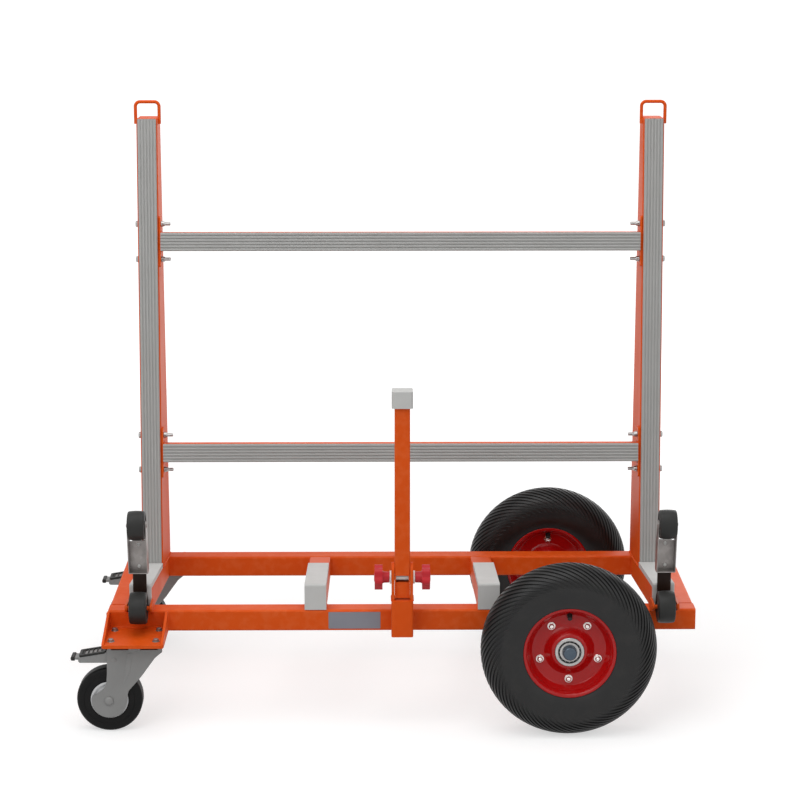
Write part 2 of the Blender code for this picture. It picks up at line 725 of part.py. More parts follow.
def wing_bolt_mesh():
    """A hexagon bolt along Z with its wing nut. Z is zero on the outer face of the upright."""
    grip = TUBE + END_PLATE_THICKNESS + 3 * GAP
    shank_length = BOLT_HEAD_HEIGHT + grip + BOLT_TIP
    bolt = add_helper("bolt_shank", cylinder_mesh("bolt_shank", BOLT_RADIUS, shank_length, HOLE_SIDES))
    bolt.parent = None
    bolt.location = (0, 0, BOLT_HEAD_HEIGHT / 2 - grip / 2 - BOLT_TIP / 2)
    head = add_helper("bolt_head", cylinder_mesh("bolt_head", BOLT_HEAD_RADIUS, BOLT_HEAD_HEIGHT, 6))
    head.parent = None
    head.location = (0, 0, BOLT_HEAD_HEIGHT / 2 + GAP)
    hub = add_helper("bolt_hub", cylinder_mesh("bolt_hub", WING_HUB_RADIUS, WING_HUB_LENGTH, PIN_SIDES))
    hub.parent = None
    hub.location = (0, 0, -grip - GAP - WING_HUB_LENGTH / 2)
    half = WING_SPAN / 2
    wing_outline = [(half * along, WING_TIP_HEIGHT * up) for along, up in WING_OUTLINE_SHARES]
    wings = add_helper("bolt_wings", plate_mesh("bolt_wings", [wing_outline], WING_THICKNESS))
    wings.parent = None
    wings.location = (0, 0, -grip - GAP)
    wings.rotation_euler = (-math.pi / 2, 0, math.pi / 2)
    join(bolt, head, hub, wings)
    mesh = smooth(realised("wing_bolt", bolt))
    mesh.transform(Matrix.Translation(bolt.location))
    return mesh


def build_wing_bolts():
    mesh = wing_bolt_mesh()
    mesh.materials.append(ZINC)
    for side in (-1, 1):
        for label, up in zip(("lower", "upper"), CROSS_RAIL_PLACES):
            for order, along in (("bottom", -1), ("top", 1)):
                name = f"{end_name(side)}_{label}_{order}_wing_bolt"
                spot = (side * (UPRIGHT_X + TUBE / 2), bolt_depth(), up + along * BOLT_SPACING / 2)
                add_part(name, mesh, ZINC, spot, (0, side * math.pi / 2, 0), BACK)


def build_clamp_post():
    """The socket on the front rail, its ears and pin, and the post that folds forward about the pin."""
    y_front, y_back = -OUTER_Y - TUBE, -OUTER_Y - GAP
    socket_top = RAIL_BOTTOM + SOCKET_HEIGHT
    socket_mesh = tube_mesh("post_socket", TUBE, TUBE - GAP, TUBE_WALL, TUBE_CORNER, SOCKET_HEIGHT)
    spot = (0, (y_front + y_back) / 2, RAIL_BOTTOM + SOCKET_HEIGHT / 2)
    socket = add_part("post_socket", socket_mesh, ORANGE, spot)
    inset = TUBE_WALL / 2
    lid = box_between(
        "socket_lid",
        (-TUBE / 2 + inset, y_front + inset, socket_top - SOCKET_TOP_PLATE),
        (TUBE / 2 - inset, y_back - inset, socket_top - GAP),
    )
    join(socket, lid)
    ear_outline = arc((POST_Y, POST_PIN_Z + EAR_RISE), EAR_RADIUS, 0, 180, 10)
    ear_foot = socket_top - SOCKET_TOP_PLATE / 2
    ear_outline += [(POST_Y - EAR_RADIUS, ear_foot), (POST_Y + EAR_RADIUS, ear_foot)]
    for side in (-1, 1):
        ear = plate_mesh("ear", [ear_outline], EAR_THICKNESS)
        ear_x = side * (EAR_SPREAD / 2 - EAR_THICKNESS / 2)
        join(socket, add_helper("ear", ear, (ear_x, 0, 0), SIDEWAYS))
    bore = cylinder_mesh("ear_bore", POST_PIN_RADIUS + GAP, 2 * TUBE, PIN_SIDES)
    cut(socket, add_helper("ear_bore", bore, (0, POST_Y, POST_PIN_Z), ALONG_X))

    pivot = add_empty("post_fold", (0, POST_Y, POST_PIN_Z), (0, 0, 0), ROOT)
    drop = POST_PIN_Z - socket_top - POST_SWING_CLEARANCE
    foot = math.sqrt(drop**2 - (POST_WIDTH / 2) ** 2)
    rise = POST_TOP_Z - POST_PIN_Z
    post_mesh = tube_mesh("clamp_post", POST_WIDTH, POST_WIDTH, POST_WALL, POST_CORNER, rise + foot)
    post = add_part("clamp_post", post_mesh, ORANGE, (0, 0, (rise - foot) / 2), (0, 0, 0), pivot)
    post_bore = cylinder_mesh("post_bore", POST_PIN_RADIUS + GAP, 2 * TUBE, PIN_SIDES)
    cut(post, add_helper("post_bore", post_bore, (0, 0, 0), ALONG_X, pivot))
    mouth_half = POST_WIDTH / 2 - POST_MOUTH_INSET
    mouth = box_between(
        "post_mouth",
        (-mouth_half, -POST_WIDTH, -foot - OVERRUN),
        (mouth_half, -POST_WIDTH / 2 + POST_MOUTH_DEPTH, POST_MOUTH_HEIGHT),
        pivot,
    )
    cut(post, mouth)
    cap_mesh = plate_mesh("post_cap", [rounded_rectangle(CAP_WIDTH, CAP_WIDTH, CAP_CORNER)], CAP_HEIGHT)
    cap_z = rise - CAP_WRAP + CAP_HEIGHT / 2
    cap = add_part("post_cap", cap_mesh, PAD_GREY, (0, 0, cap_z), (0, 0, 0), pivot)
    room = POST_WIDTH / 2 + GAP
    room_low = rise - CAP_WRAP - OVERRUN
    cap_room = box_between("cap_room", (-room, -room, room_low), (room, room, rise + GAP), pivot)
    cut(cap, cap_room)

    outer = EAR_SPREAD / 2 + GAP
    washer_end = outer + WASHER_THICKNESS
    half = [
        (0, washer_end + STUD_LENGTH),
        (STUD_RADIUS, washer_end + STUD_LENGTH),
        (STUD_RADIUS, washer_end),
        (WASHER_RADIUS, washer_end),
        (WASHER_RADIUS, outer),
        (POST_PIN_RADIUS, outer),
    ]
    profile = half + [(radius, -height) for radius, height in reversed(half)]
    pin = turned_mesh("hinge_pin", profile, PIN_SIDES, closed=False)
    add_part("hinge_pin", pin, ZINC, (0, POST_Y, POST_PIN_Z), ALONG_X)
    build_knobs(washer_end)


def knob_mesh():
    """A star knob along Z, with its inner face at zero and a blind bore for the stud."""
    outline = []
    for index in range(KNOB_POINTS):
        angle = 2 * math.pi * index / KNOB_POINTS
        radius = KNOB_RADIUS * (1 - KNOB_LOBE_SHARE * (1 - math.cos(KNOB_LOBES * angle)) / 2)
        outline.append((radius * math.cos(angle), radius * math.sin(angle)))
    star = add_helper("knob_star", plate_mesh("knob_star", [outline], KNOB_THICKNESS))
    star.parent = None
    star.location = (0, 0, KNOB_HUB_LENGTH + KNOB_THICKNESS / 2 - KNOB_BITE)
    hub = add_helper("knob_hub", cylinder_mesh("knob_hub", KNOB_HUB_RADIUS, KNOB_HUB_LENGTH, PIN_SIDES))
    hub.parent = None
    hub.location = (0, 0, KNOB_HUB_LENGTH / 2)
    hub.rotation_euler = (0, 0, math.pi / KNOB_POINTS / 2)
    bore_mesh = cylinder_mesh("knob_bore", STUD_RADIUS + GAP, 2 * (STUD_LENGTH + GAP), PIN_SIDES)
    bore = add_helper("knob_bore", bore_mesh)
    bore.parent = None
    join(star, hub)
    cut(star, bore)
    mesh = smooth(realised("star_knob", star))
    mesh.transform(Matrix.Translation(star.location))
    mesh.materials.append(RED_PLASTIC)
    return mesh


def build_knobs(washer_end):
    mesh = knob_mesh()
    for side in (-1, 1):
        name = end_name(side) + "_star_knob"
        spot = (side * (washer_end + GAP), POST_Y, POST_PIN_Z)
        add_part(name, mesh, RED_PLASTIC, spot, (0, side * math.pi / 2, 0))


def tyre_section(half_width, rise, bead_half, bead_radius):
    """Points of a tyre's outline, from its crown round the sidewall to the bead."""
    end = math.pi - math.asin(bead_half / half_width)
    drop = (TYRE_CENTRE_RADIUS - bead_radius) / -math.cos(end)
    points = []
    for step in range(TYRE_ARC_STEPS + 1):
        angle = end * step / TYRE_ARC_STEPS
        reach = rise if math.cos(angle) > 0 else drop
        points.append((TYRE_CENTRE_RADIUS + reach * math.cos(angle), half_width * math.sin(angle)))
    return points


def tyre_mesh():
    rise = WHEEL_RADIUS - TYRE_CENTRE_RADIUS
    outer = tyre_section(TYRE_WIDTH / 2, rise, TYRE_BEAD_HALF, TYRE_BEAD_RADIUS + TYRE_WALL / 4)
    seat = RIM_SEAT_RADIUS + GAP
    lip_inside = RIM_LIP_HALF - RIM_LIP_THICKNESS
    bead = [
        (RIM_LIP_RADIUS + GAP, TYRE_BEAD_HALF - TYRE_WALL / 8),
        (RIM_LIP_RADIUS + GAP, lip_inside - GAP),
        (seat, lip_inside - RIM_LIP_THICKNESS - GAP),
        (seat, TYRE_TOE_HALF),
    ]
    inner_bead = TYRE_BEAD_RADIUS + TYRE_WALL / 4
    inner = tyre_section(TYRE_WIDTH / 2 - TYRE_WALL, rise - TYRE_WALL, TYRE_TOE_HALF, inner_bead)
    half = outer + bead + list(reversed(inner))
    return turned_mesh("pneumatic_tyre", mirrored_profile(half), WHEEL_SIDES)


def rim_mesh():
    lip_inside = RIM_LIP_HALF - RIM_LIP_THICKNESS
    bore = HUB_RADIUS + GAP
    half = [
        (RIM_WELL_RADIUS, 0),
        (RIM_WELL_RADIUS, RIM_WELL_HALF),
        (RIM_SEAT_RADIUS, RIM_SEAT_HALF),
        (RIM_SEAT_RADIUS, lip_inside - RIM_LIP_THICKNESS),
        (RIM_LIP_RADIUS, lip_inside),
        (RIM_LIP_RADIUS, RIM_LIP_HALF - RIM_LIP_THICKNESS / 4),
        (RIM_LIP_RADIUS - RIM_LIP_THICKNESS, RIM_LIP_HALF),
        (RIM_SEAT_RADIUS - RIM_WALL, lip_inside - RIM_LIP_THICKNESS),
        (RIM_SEAT_RADIUS - RIM_WALL, RIM_SEAT_HALF),
        (RIM_WELL_RADIUS - RIM_WALL, RIM_WEB_HALF),
        (RIM_CONE_RADIUS + RIM_WALL, RIM_WEB_HALF),
        (RIM_CONE_RADIUS, RIM_WEB_HALF + RIM_WALL / 2),
        (RIM_CONE_TOP_RADIUS, RIM_CONE_HALF),
        (bore, RIM_CONE_HALF + RIM_WALL / 2),
        (bore, 0),
    ]
    return turned_mesh("rim", mirrored_profile(half), WHEEL_SIDES)


def build_wheel(side):
    """A pneumatic wheel: its tyre, its bolted rim and its hub, about an axis along Y."""
    row = row_name(side)
    spin = add_empty(row + "_wheel_spin", (WHEEL_X, side * TRACK / 2, WHEEL_RADIUS), (0, 0, 0), ROOT)
    add_part(row + "_tyre", tyre_mesh(), BLACK_RUBBER, (0, 0, 0), ALONG_Y, spin)
    rim = add_part(row + "_rim", rim_mesh(), RED_PAINT, (0, 0, 0), ALONG_Y, spin)
    bolt_length = 2 * (RIM_WEB_HALF + RIM_BOLT_HEAD_HEIGHT)
    for index in range(RIM_BOLT_COUNT):
        angle = 2 * math.pi * index / RIM_BOLT_COUNT + (math.pi if side > 0 else 0)
        spot = (RIM_BOLT_CIRCLE * math.sin(angle), 0, -RIM_BOLT_CIRCLE * math.cos(angle))
        bolt = cylinder_mesh(row + "_rim_bolt", RIM_BOLT_HEAD_RADIUS, bolt_length, 6)
        join(rim, add_helper(row + "_rim_bolt", bolt, spot, ALONG_Y, spin))
    bore = AXLE_RADIUS + GAP
    half = [(HUB_RADIUS, 0), (HUB_RADIUS, HUB_HALF), (bore, HUB_HALF), (bore, 0)]
    hub = turned_mesh(row + "_hub", mirrored_profile(half), WHEEL_SIDES)
    add_part(row + "_hub", hub, STEEL_GREY, (0, 0, 0), ALONG_Y, spin)


def build_axle():
    """The straight axle below the rails, with a collar inside each hub and a nut outside it."""
    middle = TRACK / 2
    inner, outer = middle - HUB_HALF - GAP, middle + HUB_HALF + GAP
    half = [
        (0, outer + AXLE_NUT_LENGTH),
        (AXLE_NUT_RADIUS, outer + AXLE_NUT_LENGTH),
        (AXLE_NUT_RADIUS, outer),
        (AXLE_RADIUS, outer),
        (AXLE_RADIUS, inner),
        (AXLE_NUT_RADIUS, inner),
        (AXLE_NUT_RADIUS, inner - AXLE_COLLAR_LENGTH),
        (AXLE_RADIUS, inner - AXLE_COLLAR_LENGTH),
    ]
    profile = half + [(radius, -height) for radius, height in reversed(half)]
    axle = turned_mesh("axle", profile, 20, closed=False)
    add_part("axle", axle, STEEL_GREY, (WHEEL_X, 0, WHEEL_RADIUS), ALONG_Y)


def fork_outline():
    """A fork side in the XZ plane, about the swivel axis: a broad top that runs down to the axle disc."""
    half = FORK_CROWN_LENGTH / 2
    disc = (-CASTER_TRAIL, CASTER_RADIUS)
    height = CROWN_TOP - CASTER_RADIUS
    points = [(-half, CROWN_TOP)]
    points += [(half * along, CROWN_TOP - height * down) for along, down in FORK_FRONT_SHARES]
    points += arc(disc, FORK_DISC_RADIUS, 5, -182, FORK_ARC_STEPS)
    for back, up in FORK_BACK_SHARES:
        points.append((disc[0] - FORK_DISC_RADIUS * back, disc[1] + FORK_DISC_RADIUS * up))
    return points


def build_caster(side):
    """A braked swivel caster: the bolted plate with its kingpin, the fork, the wheel and the pedal."""
    row = row_name(side)
    x, y = CASTER_SWIVEL_X, side * CASTER_HALF_TRACK
    top_outline = rounded_rectangle(CASTER_PLATE_LENGTH, CASTER_PLATE_WIDTH, CASTER_PLATE_CORNER)
    name = row + "_caster_plate"
    plate_z = CASTER_PLATE_Z - CASTER_PLATE_THICKNESS / 2
    plate = add_part(
        name, plate_mesh(name, [top_outline], CASTER_PLATE_THICKNESS), ZINC, (x, y, plate_z)
    )
    bottom = CASTER_PLATE_Z - CASTER_PLATE_THICKNESS
    race_bottom = bottom - CASTER_RACE_HEIGHT
    crown_bottom = CROWN_TOP - FORK_THICKNESS
    nut_top = crown_bottom - GAP
    kingpin_profile = [
        (0, plate_z),
        (CASTER_RACE_RADIUS, plate_z),
        (CASTER_RACE_RADIUS, race_bottom),
        (KINGPIN_RADIUS, race_bottom),
        (KINGPIN_RADIUS, nut_top),
        (KINGPIN_NUT_RADIUS, nut_top),
        (KINGPIN_NUT_RADIUS, nut_top - KINGPIN_NUT_HEIGHT),
        (0, nut_top - KINGPIN_NUT_HEIGHT),
    ]
    kingpin = turned_mesh(row + "_kingpin", kingpin_profile, 2 * HOLE_SIDES, closed=False)
    join(plate, add_helper(row + "_kingpin", kingpin, (x, y, 0)))
    bolt_length = CASTER_PLATE_THICKNESS + CASTER_BRACKET_THICKNESS + BOLT_HEAD_HEIGHT
    bolt_top = CASTER_BRACKET_BOTTOM + CASTER_BRACKET_THICKNESS
    for along in (-1, 1):
        for across in (-1, 1):
            spot = (x + along * CASTER_BOLT_X / 2, y + across * CASTER_BOLT_Y / 2)
            shank = cylinder_mesh(row + "_plate_bolt", BOLT_RADIUS, bolt_length, HOLE_SIDES)
            shank_z = bolt_top + BOLT_HEAD_HEIGHT / 2 - bolt_length / 2
            head = cylinder_mesh(row + "_plate_head", BOLT_HEAD_RADIUS, BOLT_HEAD_HEIGHT, 6)
            head_z = bolt_top + GAP + BOLT_HEAD_HEIGHT / 2
            join(
                plate,
                add_helper(row + "_plate_bolt", shank, (*spot, shank_z)),
                add_helper(row + "_plate_head", head, (*spot, head_z)),
            )

    swivel = add_empty(row + "_caster_swivel", (x, y, 0), (0, 0, 0), ROOT)
    name = row + "_caster_fork"
    width = FORK_INSIDE + 2 * FORK_THICKNESS
    crown = box_mesh(name, (FORK_CROWN_LENGTH, width, FORK_THICKNESS))
    fork = add_part(name, crown, STEEL_GREY, (0, 0, CROWN_TOP - FORK_THICKNESS / 2), (0, 0, 0), swivel)
    outline = fork_outline()
    for across in (-1, 1):
        cheek = plate_mesh(name + "_cheek", [outline], FORK_THICKNESS)
        offset = across * (FORK_INSIDE + FORK_THICKNESS) / 2
        join(fork, add_helper(name + "_cheek", cheek, (0, offset, 0), FRONTAL, swivel))
    room = cylinder_mesh(name + "_kingpin_room", KINGPIN_RADIUS + GAP, 4 * FORK_THICKNESS, 2 * HOLE_SIDES)
    cut(fork, add_helper(name + "_kingpin_room", room, (0, 0, crown_bottom), (0, 0, 0), swivel))
    axle_spot = (-CASTER_TRAIL, 0, CASTER_RADIUS)
    pin = cylinder_mesh(name + "_axle", CASTER_AXLE_RADIUS, width, PIN_SIDES)
    join(fork, add_helper(name + "_axle", pin, axle_spot, ALONG_Y, swivel))
    for across in (-1, 1):
        head = cylinder_mesh(name + "_axle_head", CASTER_AXLE_HEAD_RADIUS, CASTER_AXLE_HEAD, 6)
        offset = across * (width / 2 + CASTER_AXLE_HEAD / 2 - FORK_THICKNESS / 4)
        spot = (-CASTER_TRAIL, offset, CASTER_RADIUS)
        join(fork, add_helper(name + "_axle_head", head, spot, ALONG_Y, swivel))
    pedal_spot = (-PEDAL_PIVOT_BACK, 0, CROWN_TOP - PEDAL_PIVOT_DROP)
    pedal_room = cylinder_mesh(name + "_pedal_room", PEDAL_PIN_RADIUS + GAP, 2 * width, PIN_SIDES)
    cut(fork, add_helper(name + "_pedal_room", pedal_room, pedal_spot, ALONG_Y, swivel))
    build_pedal(row, swivel, pedal_spot, width)

    roll = add_empty(row + "_caster_roll", axle_spot, (0, 0, 0), swivel)
    half_width = CASTER_WIDTH / 2
    tread = half_width - CASTER_TREAD_CORNER
    tyre_half = [(CASTER_RADIUS, 0), (CASTER_RADIUS, tread)]
    tyre_half += [
        (CASTER_RADIUS - CASTER_TREAD_CORNER + CASTER_TREAD_CORNER * math.cos(math.radians(angle)),
         tread + CASTER_TREAD_CORNER * math.sin(math.radians(angle)))
        for angle in (45, 90)
    ]
    tyre_half += [(CASTER_CORE_RADIUS + GAP, half_width), (CASTER_CORE_RADIUS + GAP, 0)]
    tyre = turned_mesh(row + "_caster_tyre", mirrored_profile(tyre_half), CASTER_SIDES)
    add_part(row + "_caster_tyre", tyre, BLACK_RUBBER, (0, 0, 0), ALONG_Y, roll)
    bore = CASTER_AXLE_RADIUS + GAP
    boss = CASTER_AXLE_HEAD_RADIUS + FORK_THICKNESS
    recess = half_width * CASTER_CORE_RECESS_SHARE
    core_half = [
        (CASTER_CORE_RADIUS, 0),
        (CASTER_CORE_RADIUS, half_width),
        (CASTER_CORE_RADIUS - FORK_THICKNESS, half_width),
        (CASTER_CORE_RADIUS - 2 * FORK_THICKNESS, recess),
        (boss + FORK_THICKNESS / 2, recess),
        (boss, FORK_INSIDE / 2 - GAP),
        (bore, FORK_INSIDE / 2 - GAP),
        (bore, 0),
    ]
    core = turned_mesh(row + "_caster_core", mirrored_profile(core_half), CASTER_SIDES)
    add_part(row + "_caster_core", core, CORE_GREY, (0, 0, 0), ALONG_Y, roll)


def build_pedal(row, swivel, pedal_spot, width):
    """The brake pedal: an arm inside the fork, on a pin through both fork sides."""
    pivot = add_empty(row + "_pedal_hinge", pedal_spot, (0, 0, 0), swivel)
    tip = PEDAL_REACH - PEDAL_PIVOT_BACK
    outline = arc((0, 0), PEDAL_BOSS, 90, -90, 6)
    outline += [(-tip * along, PEDAL_BOSS * up) for along, up in PEDAL_OUTLINE_SHARES]
    arm = plate_mesh(row + "_brake_pedal", [outline], PEDAL_WIDTH)
    pedal = add_part(row + "_brake_pedal", arm, STEEL_GREY, (0, 0, 0), FRONTAL, pivot)
    pin = cylinder_mesh(row + "_pedal_pin", PEDAL_PIN_RADIUS, width + 2 * PEDAL_PIN_HEAD, PIN_SIDES)
    join(pedal, add_helper(row + "_pedal_pin", pin, (0, 0, 0), ALONG_Y, pivot))


def roller_mesh(name, radius):
    """A rubber roller about Z, with rounded edges and a bore for its pin."""
    half_width = ROLLER_WIDTH / 2
    half = [(radius, 0), (radius, half_width - ROLLER_CORNER)]
    half += [(radius - ROLLER_CORNER, half_width)]
    half += [(ROLLER_PIN_RADIUS + GAP, half_width), (ROLLER_PIN_RADIUS + GAP, 0)]
    return turned_mesh(name, mirrored_profile(half), ROLLER_SIDES)


def build_roller_unit(side):
    """A stalk in front of the rail, the pressed tray on it, and the two rubber rollers."""
    end = end_name(side)
    x = side * UPRIGHT_X
    stalk_back = -OUTER_Y - GAP
    stalk_front = stalk_back - STALK_THICKNESS
    name = end + "_roller_stalk"
    stalk_size = (STALK_WIDTH, STALK_THICKNESS, STALK_TOP_Z - STALK_BOTTOM_Z)
    stalk_spot = (x, (stalk_back + stalk_front) / 2, (STALK_TOP_Z + STALK_BOTTOM_Z) / 2)
    add_part(name, box_mesh(name, stalk_size), DARK_PAINT, stalk_spot)

    name = end + "_roller_bracket"
    tray_back = stalk_front - GAP
    tray_front = tray_back - TRAY_DEPTH
    upper_y = lower_roller_y() + LOWER_ROLLER_RADIUS - UPPER_ROLLER_RADIUS - TRAY_WALL - ROLLER_STANDOFF
    web = box_mesh(name, (TRAY_WIDTH, TRAY_WALL, STALK_TOP_Z - TRAY_BOTTOM_Z))
    spot = (x, tray_back - TRAY_WALL / 2, (STALK_TOP_Z + TRAY_BOTTOM_Z) / 2)
    bracket = add_part(name, web, ZINC, spot)
    lip = box_between(
        name + "_lip",
        (x - TRAY_WIDTH / 2, tray_front, TRAY_BOTTOM_Z),
        (x + TRAY_WIDTH / 2, tray_back - TRAY_WALL / 2, TRAY_BOTTOM_Z + TRAY_WALL),
    )
    join(bracket, lip)
    ear = 2 * ROLLER_PIN_RADIUS
    cheek_outline = arc((upper_y, UPPER_ROLLER_Z), ear, 180, 0, 8)
    cheek_outline += [
        (tray_back - TRAY_WALL / 4, STALK_TOP_Z - TRAY_WALL),
        (tray_back - TRAY_WALL / 4, TRAY_BOTTOM_Z + TRAY_WALL / 4),
        (tray_front + TRAY_WALL / 4, TRAY_BOTTOM_Z + TRAY_WALL / 4),
    ]
    for across in (-1, 1):
        cheek = plate_mesh(name + "_cheek", [cheek_outline], TRAY_WALL)
        offset = across * (TRAY_WIDTH / 2 - TRAY_WALL / 2 - TRAY_WALL / 8)
        join(bracket, add_helper(name + "_cheek", cheek, (x + offset, 0, 0), SIDEWAYS))
    pin = cylinder_mesh(name + "_pin", ROLLER_PIN_RADIUS, TRAY_WIDTH + TRAY_WALL, PIN_SIDES)
    join(bracket, add_helper(name + "_pin", pin, (x, upper_y, UPPER_ROLLER_Z), ALONG_X))
    tray_height = STALK_TOP_Z - TRAY_BOTTOM_Z
    for share in TRAY_RIVET_SHARES:
        rivet = cylinder_mesh(name + "_rivet", TRAY_RIVET_RADIUS, 2 * TRAY_RIVET_HEIGHT, HOLE_SIDES)
        spot = (x, tray_back - TRAY_WALL, TRAY_BOTTOM_Z + tray_height * share)
        join(bracket, add_helper(name + "_rivet", rivet, spot, ALONG_Y))

    name = end + "_upper_roller"
    spot = (x, upper_y, UPPER_ROLLER_Z)
    add_part(name, roller_mesh(name, UPPER_ROLLER_RADIUS), BLACK_RUBBER, spot, ALONG_X)
    name = end + "_lower_roller"
    spot = (x, lower_roller_y(), LOWER_ROLLER_Z)
    add_part(name, roller_mesh(name, LOWER_ROLLER_RADIUS), BLACK_RUBBER, spot, ALONG_X)


def main():
    build_end_members()
    build_seats()
    build_uprights()
    build_upright_facings()
    build_cross_rails()
    build_wing_bolts()
    build_clamp_post()
    build_axle()
    for side in (-1, 1):
        build_rail(side)
        build_wheel(side)
        build_caster(side)
        build_roller_unit(side)


main()
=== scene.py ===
"""Looks of the slab buggy, a welded trolley that carries stone slabs on edge.

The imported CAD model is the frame. Each class below builds the visible pieces of one sub-assembly
in the frame's own coordinates, in metres, and main() builds them in order.
"""

from __future__ import annotations

import logging
import math
from collections.abc import Iterable, Sequence
from dataclasses import dataclass
from enum import Enum

import bmesh
import bpy
from mathutils import Matrix, Vector

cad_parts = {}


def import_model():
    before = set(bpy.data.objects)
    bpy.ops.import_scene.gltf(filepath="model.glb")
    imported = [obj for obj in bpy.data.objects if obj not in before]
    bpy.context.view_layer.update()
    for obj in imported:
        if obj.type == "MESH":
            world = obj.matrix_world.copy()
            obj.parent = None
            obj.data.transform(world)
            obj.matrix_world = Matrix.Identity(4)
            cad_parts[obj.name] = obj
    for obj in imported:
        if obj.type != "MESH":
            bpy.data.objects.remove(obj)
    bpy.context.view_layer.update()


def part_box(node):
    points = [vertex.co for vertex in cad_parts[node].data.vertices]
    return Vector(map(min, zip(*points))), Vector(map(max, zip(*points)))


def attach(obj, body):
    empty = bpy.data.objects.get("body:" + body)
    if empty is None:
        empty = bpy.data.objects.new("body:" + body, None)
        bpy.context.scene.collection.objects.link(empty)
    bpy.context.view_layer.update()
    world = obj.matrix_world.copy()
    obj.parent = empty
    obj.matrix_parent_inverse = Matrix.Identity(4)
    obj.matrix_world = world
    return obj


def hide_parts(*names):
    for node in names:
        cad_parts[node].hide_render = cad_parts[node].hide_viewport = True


LOG = logging.getLogger("slab_buggy")
WELD = 0.000005
FULL_TURN = 2 * math.pi
BEVEL_ANGLE = math.radians(33)
SMOOTH_ANGLE = math.radians(40)
ROUND_ANGLE = math.radians(50)
SEAM_INSET = 0.006
BOTH = (-1, 1)

# Ranges of a noise, or of an edge's sharpness, that a surface turns into a full change.
WHOLE = (0.0, 1.0)
PATCH_RANGE = (0.35, 0.65)
GLOSS_RANGE = (0.3, 0.7)
DUST_RANGE = (0.48, 0.72)
EDGE_RANGE = (0.53, 0.62)
SPECKLE_RANGE = (0.45, 0.65)
SPECKLE_SCALE = 60.0
FLAKE_STRENGTH = 0.55
COAT_ROUGHNESS = 0.12
GRAIN_HEIGHT = 0.001

Point2 = tuple[float, float]
Point3 = tuple[float, float, float]
Line = Sequence[Sequence[float]]
Colour = tuple[int, int, int]
Mesh = bpy.types.Mesh
Node = bpy.types.Node
Socket = bpy.types.NodeSocket


class Axis(Enum):
    """The direction that an outline is pushed or turned along. Its own two axes come first."""

    X = ((0, 1, 0), (0, 0, 1), (1, 0, 0))
    Y = ((1, 0, 0), (0, 0, 1), (0, -1, 0))
    Z = ((1, 0, 0), (0, 1, 0), (0, 0, 1))

    def turn(self) -> Matrix:
        """Return the matrix that lays a shape drawn in X and Y onto this axis."""
        return Matrix(self.value).transposed().to_4x4()


class Pattern(Enum):
    """What the surface of a finish shows from close by."""

    ORANGE_PEEL = "orange peel"
    MOULDED = "moulded"
    SPANGLE = "spangle"
    SATIN = "satin"


def linear(colour: Colour) -> tuple[float, float, float, float]:
    """Turn an 8 bit display colour into the linear one that a shader takes.

    Args:
        colour: Red, green and blue from 0 to 255.

    Returns:
        The linear colour, with full alpha.
    """
    shares = [channel / 255 for channel in colour]
    curved = [s / 12.92 if s <= 0.04045 else ((s + 0.055) / 1.055) ** 2.4 for s in shares]
    return (curved[0], curved[1], curved[2], 1.0)


class NodeSheet:
    """A node tree, with short calls that add and join nodes."""

    def __init__(self, tree: bpy.types.NodeTree, output: str) -> None:
        """Clear a tree and add its output.

        Args:
            tree: The tree to write.
            output: Blender's name for the output node.
        """
        self.tree = tree
        self.tree.nodes.clear()
        self.output = self.add(output)

    def add(
        self, kind: str, inputs: dict[str | int, object] | None = None, **settings: object
    ) -> Node:
        """Add a node of this kind.

        Args:
            kind: Blender's name for the node.
            inputs: A value, or a socket to join, for each input by name or number.
            **settings: Properties of the node.

        Returns:
            The new node.
        """
        node = self.tree.nodes.new(kind)
        for name, value in settings.items():
            setattr(node, name, value)
        for name, value in (inputs or {}).items():
            if isinstance(value, Socket):
                self.join(value, node.inputs[name])
            else:
                node.inputs[name].default_value = value
        return node

    def join(self, source: Socket, target: Socket) -> None:
        """Link an output socket to an input socket."""
        self.tree.links.new(source, target)

    def noise(self, place: Socket, scale: float, detail: float) -> Socket:
        """Add a noise texture.

        Args:
            place: The coordinates to read.
            scale: Cells in a metre.
            detail: Layers of finer noise.

        Returns:
            The noise's height.
        """
        inputs = {"Scale": scale, "Detail": detail, "Vector": place}
        return self.add("ShaderNodeTexNoise", inputs).outputs["Fac"]

    def spread(self, value: Socket, source: Point2, result: Point2) -> Socket:
        """Map one range of values onto another, held at its ends.

        Args:
            value: The socket to read.
            source: The range that comes in.
            result: The range that goes out.

        Returns:
            The mapped socket.
        """
        names = ("Value", "From Min", "From Max", "To Min", "To Max")
        inputs = dict(zip(names, (value, *source, *result)))
        return self.add("ShaderNodeMapRange", inputs).outputs["Result"]

    def mixed(self, share: Socket, first: Socket | Colour, second: Socket | Colour) -> Socket:
        """Mix two colours, each a plain colour or a socket that gives one.

        Args:
            share: How much of the second colour shows.
            first: The first colour.
            second: The second colour.

        Returns:
            The mixed colour.
        """
        first, second = (linear(c) if isinstance(c, tuple) else c for c in (first, second))
        node = self.add("ShaderNodeMix", {0: share, 6: first, 7: second}, data_type="RGBA")
        return node.outputs[2]


